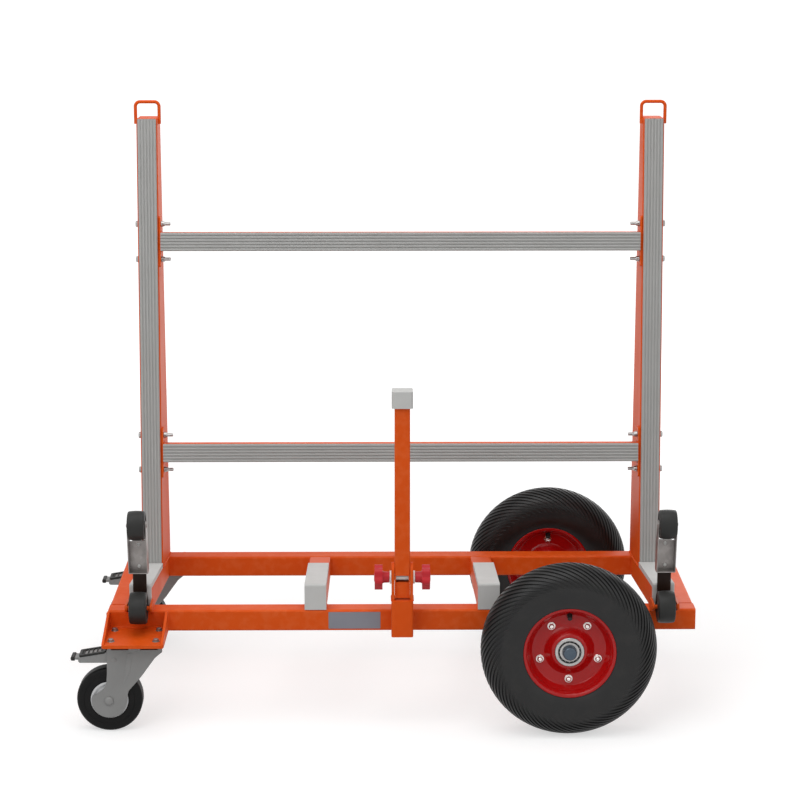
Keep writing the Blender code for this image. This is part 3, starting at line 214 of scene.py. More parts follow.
@dataclass(frozen=True)
class Finish:
    """One real surface: its colour, how that colour varies, its gloss, grain and wear."""

    name: str
    slot: str
    colour: Colour
    shade: Colour
    pattern: Pattern
    roughness: float
    metallic: float = 0.0
    coat: float = 0.0
    specular: float = 0.5
    patch_scale: float = 9.0
    patch_strength: float = 0.5
    grain_scale: float = 900.0
    grain_depth: float = 0.05
    wear: Colour | None = None
    wear_strength: float = 0.5
    dust: Colour | None = None
    dust_strength: float = 0.2

    def material(self) -> bpy.types.Material:
        """Return this finish's material, which is built the first time it is asked for."""
        found = bpy.data.materials.get(self.name)
        if found is not None:
            return found
        material = bpy.data.materials.new(self.name)
        material.use_nodes = True
        sheet = NodeSheet(material.node_tree, "ShaderNodeOutputMaterial")
        place = sheet.add("ShaderNodeTexCoord").outputs["Object"]
        patches = sheet.noise(place, self.patch_scale, 4.0)
        share = sheet.spread(patches, PATCH_RANGE, (0.0, self.patch_strength))
        colour = sheet.mixed(share, self.colour, self.shade)
        grain = self.grain(sheet, place)
        if self.pattern is Pattern.SPANGLE:
            flakes = sheet.spread(grain, WHOLE, (0.0, FLAKE_STRENGTH))
            colour = sheet.mixed(flakes, colour, self.shade)
        if self.dust is not None:
            settled = sheet.noise(place, 3 * self.patch_scale, 6.0)
            held = sheet.spread(settled, DUST_RANGE, (0.0, self.dust_strength))
            colour = sheet.mixed(held, colour, self.dust)
        if self.wear is not None:
            colour = sheet.mixed(self.worn(sheet, place), colour, self.wear)
        low, high = self.roughness - 0.06, self.roughness + 0.08
        relief = {"Strength": self.grain_depth, "Distance": GRAIN_HEIGHT, "Height": grain}
        shader = sheet.add("ShaderNodeBsdfPrincipled", {
            "Base Color": colour,
            "Roughness": sheet.spread(patches, GLOSS_RANGE, (low, high)),
            "Normal": sheet.add("ShaderNodeBump", relief).outputs["Normal"],
            "Metallic": self.metallic,
            "Coat Weight": self.coat,
            "Coat Roughness": COAT_ROUGHNESS,
            "Specular IOR Level": self.specular,
        })
        sheet.join(shader.outputs[0], sheet.output.inputs["Surface"])
        return material

    def grain(self, sheet: NodeSheet, place: Socket) -> Socket:
        """Add the fine relief of this finish.

        Args:
            sheet: The tree to add to.
            place: The coordinates to read.

        Returns:
            The relief's height.
        """
        if self.pattern is Pattern.SPANGLE:
            cells = sheet.add("ShaderNodeTexVoronoi", {"Scale": self.grain_scale, "Vector": place})
            return sheet.add("ShaderNodeRGBToBW", {0: cells.outputs["Color"]}).outputs[0]
        detail = {Pattern.ORANGE_PEEL: 1.0, Pattern.MOULDED: 3.0, Pattern.SATIN: 2.0}
        return sheet.noise(place, self.grain_scale, detail[self.pattern])

    def worn(self, sheet: NodeSheet, place: Socket) -> Socket:
        """Add the mask of rubbed edges, broken up by noise.

        Args:
            sheet: The tree to add to.
            place: The coordinates to read.

        Returns:
            The share of the worn colour.
        """
        point = sheet.add("ShaderNodeNewGeometry").outputs["Pointiness"]
        edge = sheet.spread(point, EDGE_RANGE, (0.0, self.wear_strength))
        speckle = sheet.spread(sheet.noise(place, SPECKLE_SCALE, 5.0), SPECKLE_RANGE, WHOLE)
        return sheet.add("ShaderNodeMath", {0: edge, 1: speckle}, operation="MULTIPLY").outputs[0]


ORANGE_PAINT = Finish(
    "orange_satin_paint", "orange_paint", (222, 84, 14), (214, 77, 11), Pattern.ORANGE_PEEL, 0.5,
    specular=0.16, patch_scale=4.0, grain_scale=700.0, wear=(236, 128, 76), wear_strength=0.35,
)
PAD_RUBBER = Finish(
    "pale_pad_rubber", "pad_grey", (200, 200, 198), (194, 194, 192), Pattern.MOULDED, 0.6,
    specular=0.25, patch_scale=14.0, grain_scale=1400.0, grain_depth=0.1, dust=(184, 182, 177),
    dust_strength=0.12,
)
RIB_RUBBER = Finish(
    "grey_rib_rubber", "rib_grey", (174, 174, 172), (168, 168, 166), Pattern.MOULDED, 0.55,
    specular=0.25, patch_scale=12.0, grain_scale=1200.0, grain_depth=0.08, dust=(160, 158, 153),
    dust_strength=0.12,
)
BRIGHT_ZINC = Finish(
    "bright_zinc_plate", "zinc", (184, 182, 180), (150, 149, 149), Pattern.SPANGLE, 0.28,
    metallic=0.85, patch_scale=30.0, grain_scale=260.0, grain_depth=0.03,
)
TRAY_ZINC = Finish(
    "dull_zinc_sheet", "zinc", (156, 151, 148), (118, 113, 111), Pattern.SPANGLE, 0.36,
    metallic=0.75, patch_scale=24.0, grain_scale=120.0, grain_depth=0.03, wear=(205, 203, 200),
)
# Zinc drawn near white and almost non-metallic. The white is a painted highlight standing in for
# the bright reflection on the pin and rivets.
HIGHLIGHT_PAINTED_ZINC = Finish(
    "pale_rivet_zinc", "zinc", (236, 236, 233), (226, 226, 223), Pattern.SATIN, 0.4,
    metallic=0.1, specular=0.4, patch_scale=60.0, grain_depth=0.01,
)
PRESSED_STEEL = Finish(
    "grey_pressed_steel", "pressed_grey", (142, 142, 141), (134, 134, 133), Pattern.SATIN, 0.5,
    metallic=0.2, specular=0.3, patch_scale=14.0, grain_scale=500.0, grain_depth=0.04,
    wear=(178, 178, 177), wear_strength=0.3,
)
BEARING_STEEL = Finish(
    "blue_grey_bearing_steel", "pressed_grey", (78, 91, 103), (66, 78, 90), Pattern.SATIN, 0.34,
    metallic=0.6, patch_scale=60.0, grain_depth=0.04,
)
TYRE_RUBBER = Finish(
    "black_tyre_rubber", "tyre_rubber", (18, 18, 18), (15, 15, 16), Pattern.MOULDED, 0.4,
    specular=0.36, patch_scale=10.0, grain_scale=1500.0, grain_depth=0.1, dust=(42, 40, 38),
    dust_strength=0.3,
)
CASTER_RUBBER = Finish(
    "black_caster_rubber", "tyre_rubber", (17, 17, 17), (14, 14, 15), Pattern.MOULDED, 0.5,
    specular=0.16, patch_scale=20.0, grain_scale=1500.0, grain_depth=0.06, dust=(34, 33, 32),
    dust_strength=0.2,
)
ROLLER_RUBBER = Finish(
    "dark_roller_rubber", "roller_rubber", (44, 44, 43), (36, 36, 35), Pattern.MOULDED, 0.48,
    specular=0.22, patch_scale=30.0, grain_scale=1600.0, grain_depth=0.08, wear=(66, 64, 61),
    wear_strength=0.3,
)
# Dark stalk paint. Its brown cast is painted reflection of the orange frame.
STALK_PAINT_AND_REFLECTION = Finish(
    "dark_brown_stalk_paint", "dark_paint", (37, 22, 16), (29, 18, 14), Pattern.ORANGE_PEEL, 0.42,
    specular=0.15, patch_scale=16.0, grain_scale=800.0, grain_depth=0.06, wear=(92, 66, 52),
    wear_strength=0.3,
)
RIM_PAINT = Finish(
    "gloss_red_rim_paint", "red_paint", (180, 14, 14), (166, 10, 11), Pattern.ORANGE_PEEL, 0.17,
    coat=0.1, specular=0.26, patch_scale=8.0, grain_scale=800.0, grain_depth=0.04,
    wear=(196, 70, 64), wear_strength=0.3,
)
CHROME_NUT = Finish(
    "bright_chrome_nut", "zinc", (228, 220, 216), (206, 200, 198), Pattern.SATIN, 0.14,
    metallic=1.0, patch_scale=60.0, grain_depth=0.01,
)
KNOB_PLASTIC = Finish(
    "red_knob_plastic", "red_plastic", (190, 31, 42), (192, 27, 40), Pattern.MOULDED, 0.36,
    specular=0.3, patch_scale=40.0, grain_scale=1800.0, grain_depth=0.08, wear=(226, 104, 108),
    wear_strength=0.3,
)
CORE_PLASTIC = Finish(
    "pale_grey_core_plastic", "core_grey", (228, 229, 230), (218, 219, 221), Pattern.MOULDED, 0.42,
    specular=0.4, patch_scale=40.0, grain_scale=1500.0, grain_depth=0.06, dust=(180, 178, 172),
    dust_strength=0.15,
)
BARE_PLATE = Finish(
    "bare_plate_film", "pad_grey", (138, 139, 148), (128, 130, 139), Pattern.SATIN, 0.4,
    specular=0.3, patch_scale=20.0, grain_scale=600.0, grain_depth=0.02,
)


def evaluated_mesh(name: str, source: bpy.types.Object) -> Mesh:
    """Take the final mesh of an object with its modifiers, and remove the object.

    Args:
        name: The new mesh's name.
        source: The object to read, which is deleted.

    Returns:
        A plain mesh.
    """
    graph = bpy.context.evaluated_depsgraph_get()
    mesh = bpy.data.meshes.new_from_object(source.evaluated_get(graph))
    mesh.name = name
    bpy.data.objects.remove(source, do_unlink=True)
    return mesh


def drawn_object(name: str, data: bpy.types.ID) -> bpy.types.Object:
    """Put a mesh or curve in the scene as a working object."""
    drawn = bpy.data.objects.new(name, data)
    bpy.context.scene.collection.objects.link(drawn)
    return drawn


def welded(mesh: Mesh) -> Mesh:
    """Merge the doubled points of a mesh, in place, and turn its faces outwards."""
    shape = bmesh.new()
    shape.from_mesh(mesh)
    bmesh.ops.remove_doubles(shape, verts=shape.verts, dist=WELD)
    bmesh.ops.recalc_face_normals(shape, faces=shape.faces)
    shape.to_mesh(mesh)
    shape.free()
    return mesh


def mesh_of(name: str, shape: bmesh.types.BMesh) -> Mesh:
    """Turn a finished shape into a mesh, and free the shape."""
    mesh = bpy.data.meshes.new(name)
    shape.to_mesh(mesh)
    shape.free()
    return mesh


def smoothed(mesh: Mesh) -> Mesh:
    """Shade a mesh of round forms smooth, in place."""
    mesh.shade_smooth()
    mesh.set_sharp_from_angle(angle=ROUND_ANGLE)
    return mesh


def shaded(name: str, mesh: Mesh) -> Mesh:
    """Shade a mesh smooth between its sharp edges, with its flat faces kept even."""
    mesh.shade_smooth()
    mesh.set_sharp_from_angle(angle=SMOOTH_ANGLE)
    work = drawn_object(name, mesh)
    work.modifiers.new("Shading", "WEIGHTED_NORMAL").keep_sharp = True
    return evaluated_mesh(name, work)


def softened(mesh: Mesh, width: float, segments: int = 2) -> Mesh:
    """Round the sharp edges of a mesh and even out its shading.

    Args:
        mesh: The closed mesh to soften.
        width: The rounding's width, or zero for none.
        segments: Steps across each rounding.

    Returns:
        The softened mesh.
    """
    name = mesh.name
    work = drawn_object(name, mesh)
    if width > 0:
        bevel = work.modifiers.new("Edges", "BEVEL")
        bevel.width = width
        bevel.segments = segments
        bevel.limit_method = "ANGLE"
        bevel.angle_limit = BEVEL_ANGLE
        bevel.use_clamp_overlap = True
    return shaded(name, evaluated_mesh(name, work))


def hollowed(mesh: Mesh, room: Mesh) -> Mesh:
    """Cut a room out of a closed mesh.

    Args:
        mesh: The mesh to cut.
        room: The closed mesh to take away.

    Returns:
        The cut mesh.
    """
    work, cutter = drawn_object(mesh.name, mesh), drawn_object(room.name, room)
    cut = work.modifiers.new("Room", "BOOLEAN")
    cut.solver = "EXACT"
    cut.object = cutter
    result = evaluated_mesh(mesh.name, work)
    bpy.data.objects.remove(cutter, do_unlink=True)
    return softened(result, 0)


def joined(name: str, meshes: Iterable[Mesh]) -> Mesh:
    """Put several meshes into one, and keep their shading.

    Args:
        name: The new mesh's name.
        meshes: The meshes to put together.

    Returns:
        One mesh with all their faces.
    """
    works = [drawn_object(mesh.name, mesh) for mesh in meshes]
    first = works[0]
    if len(works) > 1:
        with bpy.context.temp_override(
            active_object=first, selected_objects=works, selected_editable_objects=works
        ):
            bpy.ops.object.join()
    mesh = first.data.copy()
    mesh.name = name
    bpy.data.objects.remove(first, do_unlink=True)
    return mesh


def moved(mesh: Mesh, place: Sequence[float] | Matrix) -> Mesh:
    """Move a mesh by a vector or a matrix, in place."""
    mesh.transform(place if isinstance(place, Matrix) else Matrix.Translation(Vector(place)))
    return mesh


def arc(centre: Point2, radius: float, start: float, end: float, steps: int) -> list[Point2]:
    """Lay points along an arc.

    Args:
        centre: The arc's middle.
        radius: Its radius.
        start: The angle of its first point, in degrees.
        end: The angle of its last point, in degrees.
        steps: The steps between them.

    Returns:
        The points, from start to end.
    """
    points = []
    for step in range(steps + 1):
        angle = math.radians(start + (end - start) * step / steps)
        points.append((centre[0] + radius * math.cos(angle), centre[1] + radius * math.sin(angle)))
    return points


def mirrored(half: Sequence[Point2]) -> list[Point2]:
    """Close a turned half profile, drawn from its middle plane and back, with its mirror image."""
    return [(radius, -height) for radius, height in half] + list(reversed(half[1:-1]))


def shifted(outline: Sequence[Point2], right: float, up: float) -> list[Point2]:
    """Move an outline in its own plane."""
    return [(u + right, v + up) for u, v in outline]


def rounded_box(width: float, height: float, radius: float, steps: int = 6) -> list[Point2]:
    """Outline a rectangle with round corners about the origin.

    Args:
        width: Its full width.
        height: Its full height.
        radius: The corners' radius.
        steps: The steps round each corner.

    Returns:
        The outline, anticlockwise.
    """
    across, up = width / 2 - radius, height / 2 - radius
    corners = (((across, up), 0), ((-across, up), 90), ((-across, -up), 180), ((across, -up), 270))
    return [
        point
        for centre, start in corners
        for point in arc(centre, radius, start, start + 90, steps)
    ]


def curve_mesh(name: str, lines: Sequence[Line], closed: bool, **settings: object) -> Mesh:
    """Take the mesh of a curve of straight steps.

    Args:
        name: The mesh's name.
        lines: The curve's lines, as points in space.
        closed: Whether each line joins up.
        **settings: Properties of the curve.

    Returns:
        The mesh, in no material.
    """
    curve = bpy.data.curves.new(name, "CURVE")
    for setting, value in settings.items():
        setattr(curve, setting, value)
    for line in lines:
        spline = curve.splines.new("POLY")
        spline.points.add(len(line) - 1)
        for point, spot in zip(spline.points, line):
            point.co = (*spot, 1)
        spline.use_cyclic_u = closed
    mesh = welded(evaluated_mesh(name, drawn_object(name, curve)))
    mesh.materials.clear()
    return mesh


def prism(
    name: str,
    outlines: Sequence[Sequence[Point2]],
    axis: Axis,
    span: Point2,
    edge: float = 0.0006,
    segments: int = 2,
) -> Mesh:
    """Push filled outlines along an axis, and round the edges.

    Args:
        name: The mesh's name.
        outlines: The outer outline, then its holes, in the axis's own two coordinates.
        axis: The direction to push along.
        span: Where the shape starts and ends along that axis, in either order.
        edge: The width of the rounded edges.
        segments: Steps across each rounding.

    Returns:
        The closed mesh.
    """
    low, high = sorted(span)
    flat = [[(u, v, 0) for u, v in outline] for outline in outlines]
    mesh = curve_mesh(
        name, flat, True, dimensions="2D", fill_mode="BOTH", extrude=(high - low) / 2
    )
    along = Vector((0, 0, (low + high) / 2 * (-1 if axis is Axis.Y else 1)))
    return softened(moved(mesh, axis.turn() @ Matrix.Translation(along)), edge, segments)


def block(
    name: str, low: Sequence[float], high: Sequence[float], edge: float = 0.0006, segments: int = 2
) -> Mesh:
    """Build a box with rounded edges between two corners.

    Args:
        name: The mesh's name.
        low: The lowest corner.
        high: The highest corner.
        edge: The width of the rounded edges.
        segments: Steps across each rounding.

    Returns:
        The closed mesh.
    """
    shape = bmesh.new()
    size = Vector(high) - Vector(low)
    bmesh.ops.create_cube(shape, size=1, matrix=Matrix.Diagonal((*size, 1)))
    mesh = moved(mesh_of(name, shape), (Vector(low) + Vector(high)) / 2)
    return softened(mesh, edge, segments)


def turned(
    name: str,
    profile: Sequence[Point2],
    axis: Axis = Axis.Z,
    centre: Sequence[float] = (0, 0, 0),
    steps: int = 48,
    closed: bool = False,
) -> Mesh:
    """Turn a profile of (radius, height) pairs about an axis.

    Args:
        name: The mesh's name.
        profile: The pairs. An open profile starts and ends on the axis, at radius zero.
        axis: The axis to turn about.
        centre: Where the axis and height zero meet.
        steps: Facets round the axis.
        closed: Whether the profile's last point joins its first.

    Returns:
        The closed mesh.
    """
    shape = bmesh.new()
    rings = []
    for radius, height in profile:
        if radius == 0:
            rings.append([shape.verts.new((0, 0, height))])
            continue
        ring = []
        for step in range(steps):
            angle = FULL_TURN * step / steps
            ring.append(
                shape.verts.new((radius * math.cos(angle), radius * math.sin(angle), height))
            )
        rings.append(ring)
    pairs = list(zip(rings, rings[1:]))
    if closed:
        pairs.append((rings[-1], rings[0]))
    for above, below in pairs:
        for step in range(steps):
            following = (step + 1) % steps
            corners = []
            for ring, first, second in ((above, step, following), (below, following, step)):
                corners += [ring[0]] if len(ring) == 1 else [ring[first], ring[second]]
            if len(corners) > 2:
                shape.faces.new(corners)
    bmesh.ops.recalc_face_normals(shape, faces=shape.faces)
    mesh = moved(mesh_of(name, shape), Matrix.Translation(Vector(centre)) @ axis.turn())
    return shaded(name, mesh)


def small_ball(name: str, radius: float, segments: int) -> Mesh:
    """Build a small smooth ball about the origin."""
    shape = bmesh.new()
    bmesh.ops.create_uvsphere(shape, u_segments=segments, v_segments=6, radius=radius)
    mesh = mesh_of(name, shape)
    mesh.shade_smooth()
    return mesh


def rod(name: str, points: Line, radius: float) -> Mesh:
    """Build a round rod through these points, with flat ends.

    Args:
        name: The mesh's name.
        points: Its middle line.
        radius: Its radius.

    Returns:
        The closed mesh.
    """
    form = {"bevel_depth": radius, "bevel_resolution": 4, "use_fill_caps": True}
    return smoothed(curve_mesh(name, [points], False, dimensions="3D", **form))


class Repeat(Enum):
    """How a Geometry Nodes tree lays out copies of one item."""

    RING = "ring"
    ROW = "row"
    PATH = "path"


@dataclass
class Repeater:
    """A Geometry Nodes tree that copies one item round a ring, along a row or along a path."""

    kind: Repeat

    def tree(self) -> bpy.types.NodeTree:
        """Return the tree of this kind, which is built the first time it is asked for."""
        name = f"repeat_{self.kind.value}"
        found = bpy.data.node_groups.get(name)
        if found is not None:
            return found
        tree = bpy.data.node_groups.new(name, "GeometryNodeTree")
        ports = {
            "Geometry": "Geometry", "Item": "Object", "Count": "Int", "Step": "Vector",
            "Centre": "Vector", "Spacing": "Float", "Finish": "Material",
        }
        for port, kind in ports.items():
            tree.interface.new_socket(name=port, in_out="INPUT", socket_type="NodeSocket" + kind)
        tree.interface.new_socket(
            name="Geometry", in_out="OUTPUT", socket_type="NodeSocketGeometry"
        )
        sheet = NodeSheet(tree, "NodeGroupOutput")
        entry = sheet.add("NodeGroupInput")
        item = sheet.add("GeometryNodeObjectInfo", {"Object": entry.outputs["Item"]})
        copies = sheet.add("GeometryNodeInstanceOnPoints", {"Instance": item.outputs["Geometry"]})
        lay = self.lay_path if self.kind is Repeat.PATH else self.lay_points
        lay(sheet, entry, copies)
        real = sheet.add("GeometryNodeRealizeInstances", {"Geometry": copies.outputs["Instances"]})
        dressed = sheet.add(
            "GeometryNodeSetMaterial",
            {"Geometry": real.outputs["Geometry"], "Material": entry.outputs["Finish"]},
        )
        sheet.join(dressed.outputs["Geometry"], sheet.output.inputs["Geometry"])
        return tree

    def lay_points(
        self, sheet: NodeSheet, entry: Node, copies: bpy.types.Node
    ) -> None:
        """Add a row of points, or points on one spot that turn by a step each.

        Args:
            sheet: The tree to add to.
            entry: Its group input.
            copies: The node that puts the item on the points.
        """
        index = sheet.add("GeometryNodeInputIndex").outputs[0]
        steps = sheet.add(
            "ShaderNodeVectorMath", {0: entry.outputs["Step"], "Scale": index}, operation="SCALE"
        ).outputs[0]
        place = entry.outputs["Centre"]
        if self.kind is Repeat.ROW:
            place = sheet.add("ShaderNodeVectorMath", {0: steps, 1: place}).outputs[0]
        else:
            sheet.join(steps, copies.inputs["Rotation"])
        points = {"Count": entry.outputs["Count"], "Position": place}
        sheet.join(sheet.add("GeometryNodePoints", points).outputs[0], copies.inputs["Points"])

    def lay_path(
        self, sheet: NodeSheet, entry: Node, copies: bpy.types.Node
    ) -> None:
        """Add evenly spaced points along the incoming edges, turned to follow them.

        Args:
            sheet: The tree to add to.
            entry: Its group input.
            copies: The node that puts the item on the points.
        """
        path = sheet.add("GeometryNodeMeshToCurve", {"Mesh": entry.outputs["Geometry"]})
        points = sheet.add(
            "GeometryNodeCurveToPoints",
            {"Curve": path.outputs["Curve"], "Length": entry.outputs["Spacing"]},
            mode="LENGTH",
        )
        for name in ("Points", "Rotation"):
            sheet.join(points.outputs[name], copies.inputs[name])

    def run(
        self,
        name: str,
        item: Mesh,
        finish: Finish,
        count: int = 1,
        step: Sequence[float] = (0, 0, 0),
        centre: Sequence[float] = (0, 0, 0),
        spacing: float = 0.01,
        paths: Sequence[Line] = (),
    ) -> Mesh:
        """Lay out the copies and return them as one plain mesh.

        Args:
            name: The new mesh's name.
            item: The mesh to copy.
            finish: What the copies are made of.
            count: How many copies a ring or row has.
            step: A row's offset, or a ring's turn in radians, from one copy to the next.
            centre: Where a row starts, or what a ring turns about.
            spacing: The distance between copies on a path, in metres.
            paths: The lines that the copies follow.

        Returns:
            The copies as one mesh.
        """
        base = bpy.data.meshes.new(name)
        points, edges = [], []
        for path in paths:
            edges += [(len(points) + i, len(points) + i + 1) for i in range(len(path) - 1)]
            points += [tuple(point) for point in path]
        base.from_pydata(points or [(0, 0, 0)], edges, [])
        work = drawn_object(name, base)
        model = drawn_object(name + "_item", item)
        modifier = work.modifiers.new("Copies", "NODES")
        modifier.node_group = self.tree()
        values = {
            "Item": model, "Count": count, "Step": tuple(step), "Centre": tuple(centre),
            "Spacing": spacing, "Finish": finish.material(),
        }
        for socket in modifier.node_group.interface.items_tree:
            if socket.in_out == "INPUT" and socket.name in values:
                modifier[socket.identifier] = values[socket.name]
        mesh = evaluated_mesh(name, work)
        bpy.data.objects.remove(model, do_unlink=True)
        return mesh


RING, ROW, PATH = Repeater(Repeat.RING), Repeater(Repeat.ROW), Repeater(Repeat.PATH)


def ringed(name: str, item: Mesh, finish: Finish, count: int, centre: Point3) -> Mesh:
    """Copy an item evenly round an axis along Y."""
    return RING.run(name, item, finish, count, (0, FULL_TURN / count, 0), centre)


@dataclass
class Workshop:
    """Turns finished meshes, made about the middle of the frame, into pieces on the CAD bodies."""

    shift: float
    pieces: int = 0
    faces: int = 0
    ripple_squash: float = 0.62
    ripple_spacing: float = 0.72

    def fit(
        self,
        name: str,
        meshes: Mesh | Sequence[Mesh],
        finish: Finish,
        body: str = "frame",
        replaces: Sequence[str] = (),
    ) -> None:
        """Make a piece, dress it, and fix it to its body.

        Args:
            name: The piece's name.
            meshes: Its mesh, or several to put together.
            finish: What it is made of.
            body: The CAD body that it rides on.
            replaces: The CAD nodes that it stands for.
        """
        several = [meshes] if isinstance(meshes, Mesh) else list(meshes)
        mesh = moved(joined(name, several), (self.shift, 0, 0))
        mesh.materials.clear()
        mesh.materials.append(finish.material())
        mesh.polygons.foreach_set("material_index", [0] * len(mesh.polygons))
        piece = drawn_object(name, mesh)
        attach(piece, body)
        if replaces:
            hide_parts(*replaces)
        self.pieces += 1
        self.faces += len(mesh.polygons)
        LOG.info("%s: %d faces on %s", name, len(mesh.polygons), body)

    def weld(
        self, name: str, paths: Sequence[Line], radius: float, turn: Matrix | None = None
    ) -> None:
        """Lay a rippled weld bead along each path, and fit the beads to the frame.

        Args:
            name: What is welded.
            paths: The seams.
            radius: Half of the bead's width.
            turn: How the seams are laid on the leaning plane, if they are drawn flat.
        """
        ripple = small_ball(name + "_ripple", radius, 8)
        moved(ripple, Matrix.Diagonal((1.0, 1.0, self.ripple_squash, 1.0)))
        spacing = self.ripple_spacing * radius
        beads = PATH.run(name + "_beads", ripple, ORANGE_PAINT, spacing=spacing, paths=paths)
        self.fit(name + "_weld_beads", moved(beads, turn or (0, 0, 0)), ORANGE_PAINT)


def end_name(side: int) -> str:
    """Return the word for an end of the frame: -1 is the caster end, seen at the left."""
    return "left" if side < 0 else "right"


def row_name(side: int) -> str:
    """Return the word for a long side of the frame: -1 faces the person who loads it."""
    return "front" if side < 0 else "rear"


@dataclass
class Layout:
    """The sizes that every sub-assembly shares. The middle of the frame is at X zero."""

    tube: float = 0.05
    wall: float = 0.003
    corner: float = 0.0055
    length: float = 1.352
    half_width: float = 0.245
    deck: float = 0.262
    slope: float = math.radians(6.5)
    lean: float = math.radians(5.5)
    pad: float = 0.012
    pad_back: float = 0.041
    gap: float = 0.0003
    shelf_lift: float = 0.0005

    @property
    def rail_y(self) -> float:
        """Middle of a long rail along Y."""
        return self.half_width - self.tube / 2

    @property
    def rail_z(self) -> float:
        """Middle of the rails' height."""
        return self.deck - self.tube / 2

    @property
    def rail_bottom(self) -> float:
        """Underside of the rails."""
        return self.deck - self.tube

    @property
    def shelf_low(self) -> float:
        """Underside of the shelves that carry the casters."""
        return self.rail_bottom + self.shelf_lift

    @property
    def inner_y(self) -> float:
        """Inner face of a long rail."""
        return self.half_width - self.tube

    @property
    def upright_x(self) -> float:
        """Middle of an upright, just inside the end member."""
        return (self.length - self.tube) / 2 - self.tube - self.gap

    def bar(self, x: float) -> Point2:
        """Return where a tube with this middle starts and ends along X."""
        return (x - self.tube / 2, x + self.tube / 2)

    def seat_height(self, y: float) -> float:
        """Height of a seat bar's top face at this place along Y."""
        return self.deck + (self.inner_y - y) * math.tan(self.slope)

    @property
    def back_z(self) -> float:
        """Height at which the seat pads meet the plane that the slabs lean on."""
        return self.seat_height(self.pad_back) + self.pad / math.cos(self.slope)

    def facing_y(self, z: float) -> float:
        """Place along Y of the plane that the slabs lean on, at this height."""
        return self.pad_back + (z - self.back_z) * math.tan(self.lean)

    def leaning(self) -> Matrix:
        """Return the matrix that lays a shape onto the leaning plane."""
        lean = Matrix.Rotation(-self.lean, 4, "X")
        return Matrix.Translation((0, self.pad_back, self.back_z)) @ lean


@dataclass
class SubAssembly:
    """Pieces that are built together: the shop fits them, and the layout gives shared sizes."""

    shop: Workshop
    lay: Layout


@dataclass
class RowAssembly(SubAssembly):
    """A sub-assembly of one long side: -1 for the front row, 1 for the rear one."""

    side: int

    @property
    def row(self) -> str:
        """The word for the sub-assembly's long side."""
        return row_name(self.side)

    def fit_all(self, parts: Sequence[tuple[str, Sequence[Mesh], Finish, str, str]]) -> None:
        """Fit the pieces of this row.

        Args:
            parts: Each piece's name after the row's word, its meshes, what it is made of, the
                body that it rides on, and the node that it stands for, or nothing.
        """
        for name, meshes, finish, body, node in parts:
            nodes = [self.row + node] if node else []
            self.shop.fit(self.row + name, meshes, finish, body, nodes)


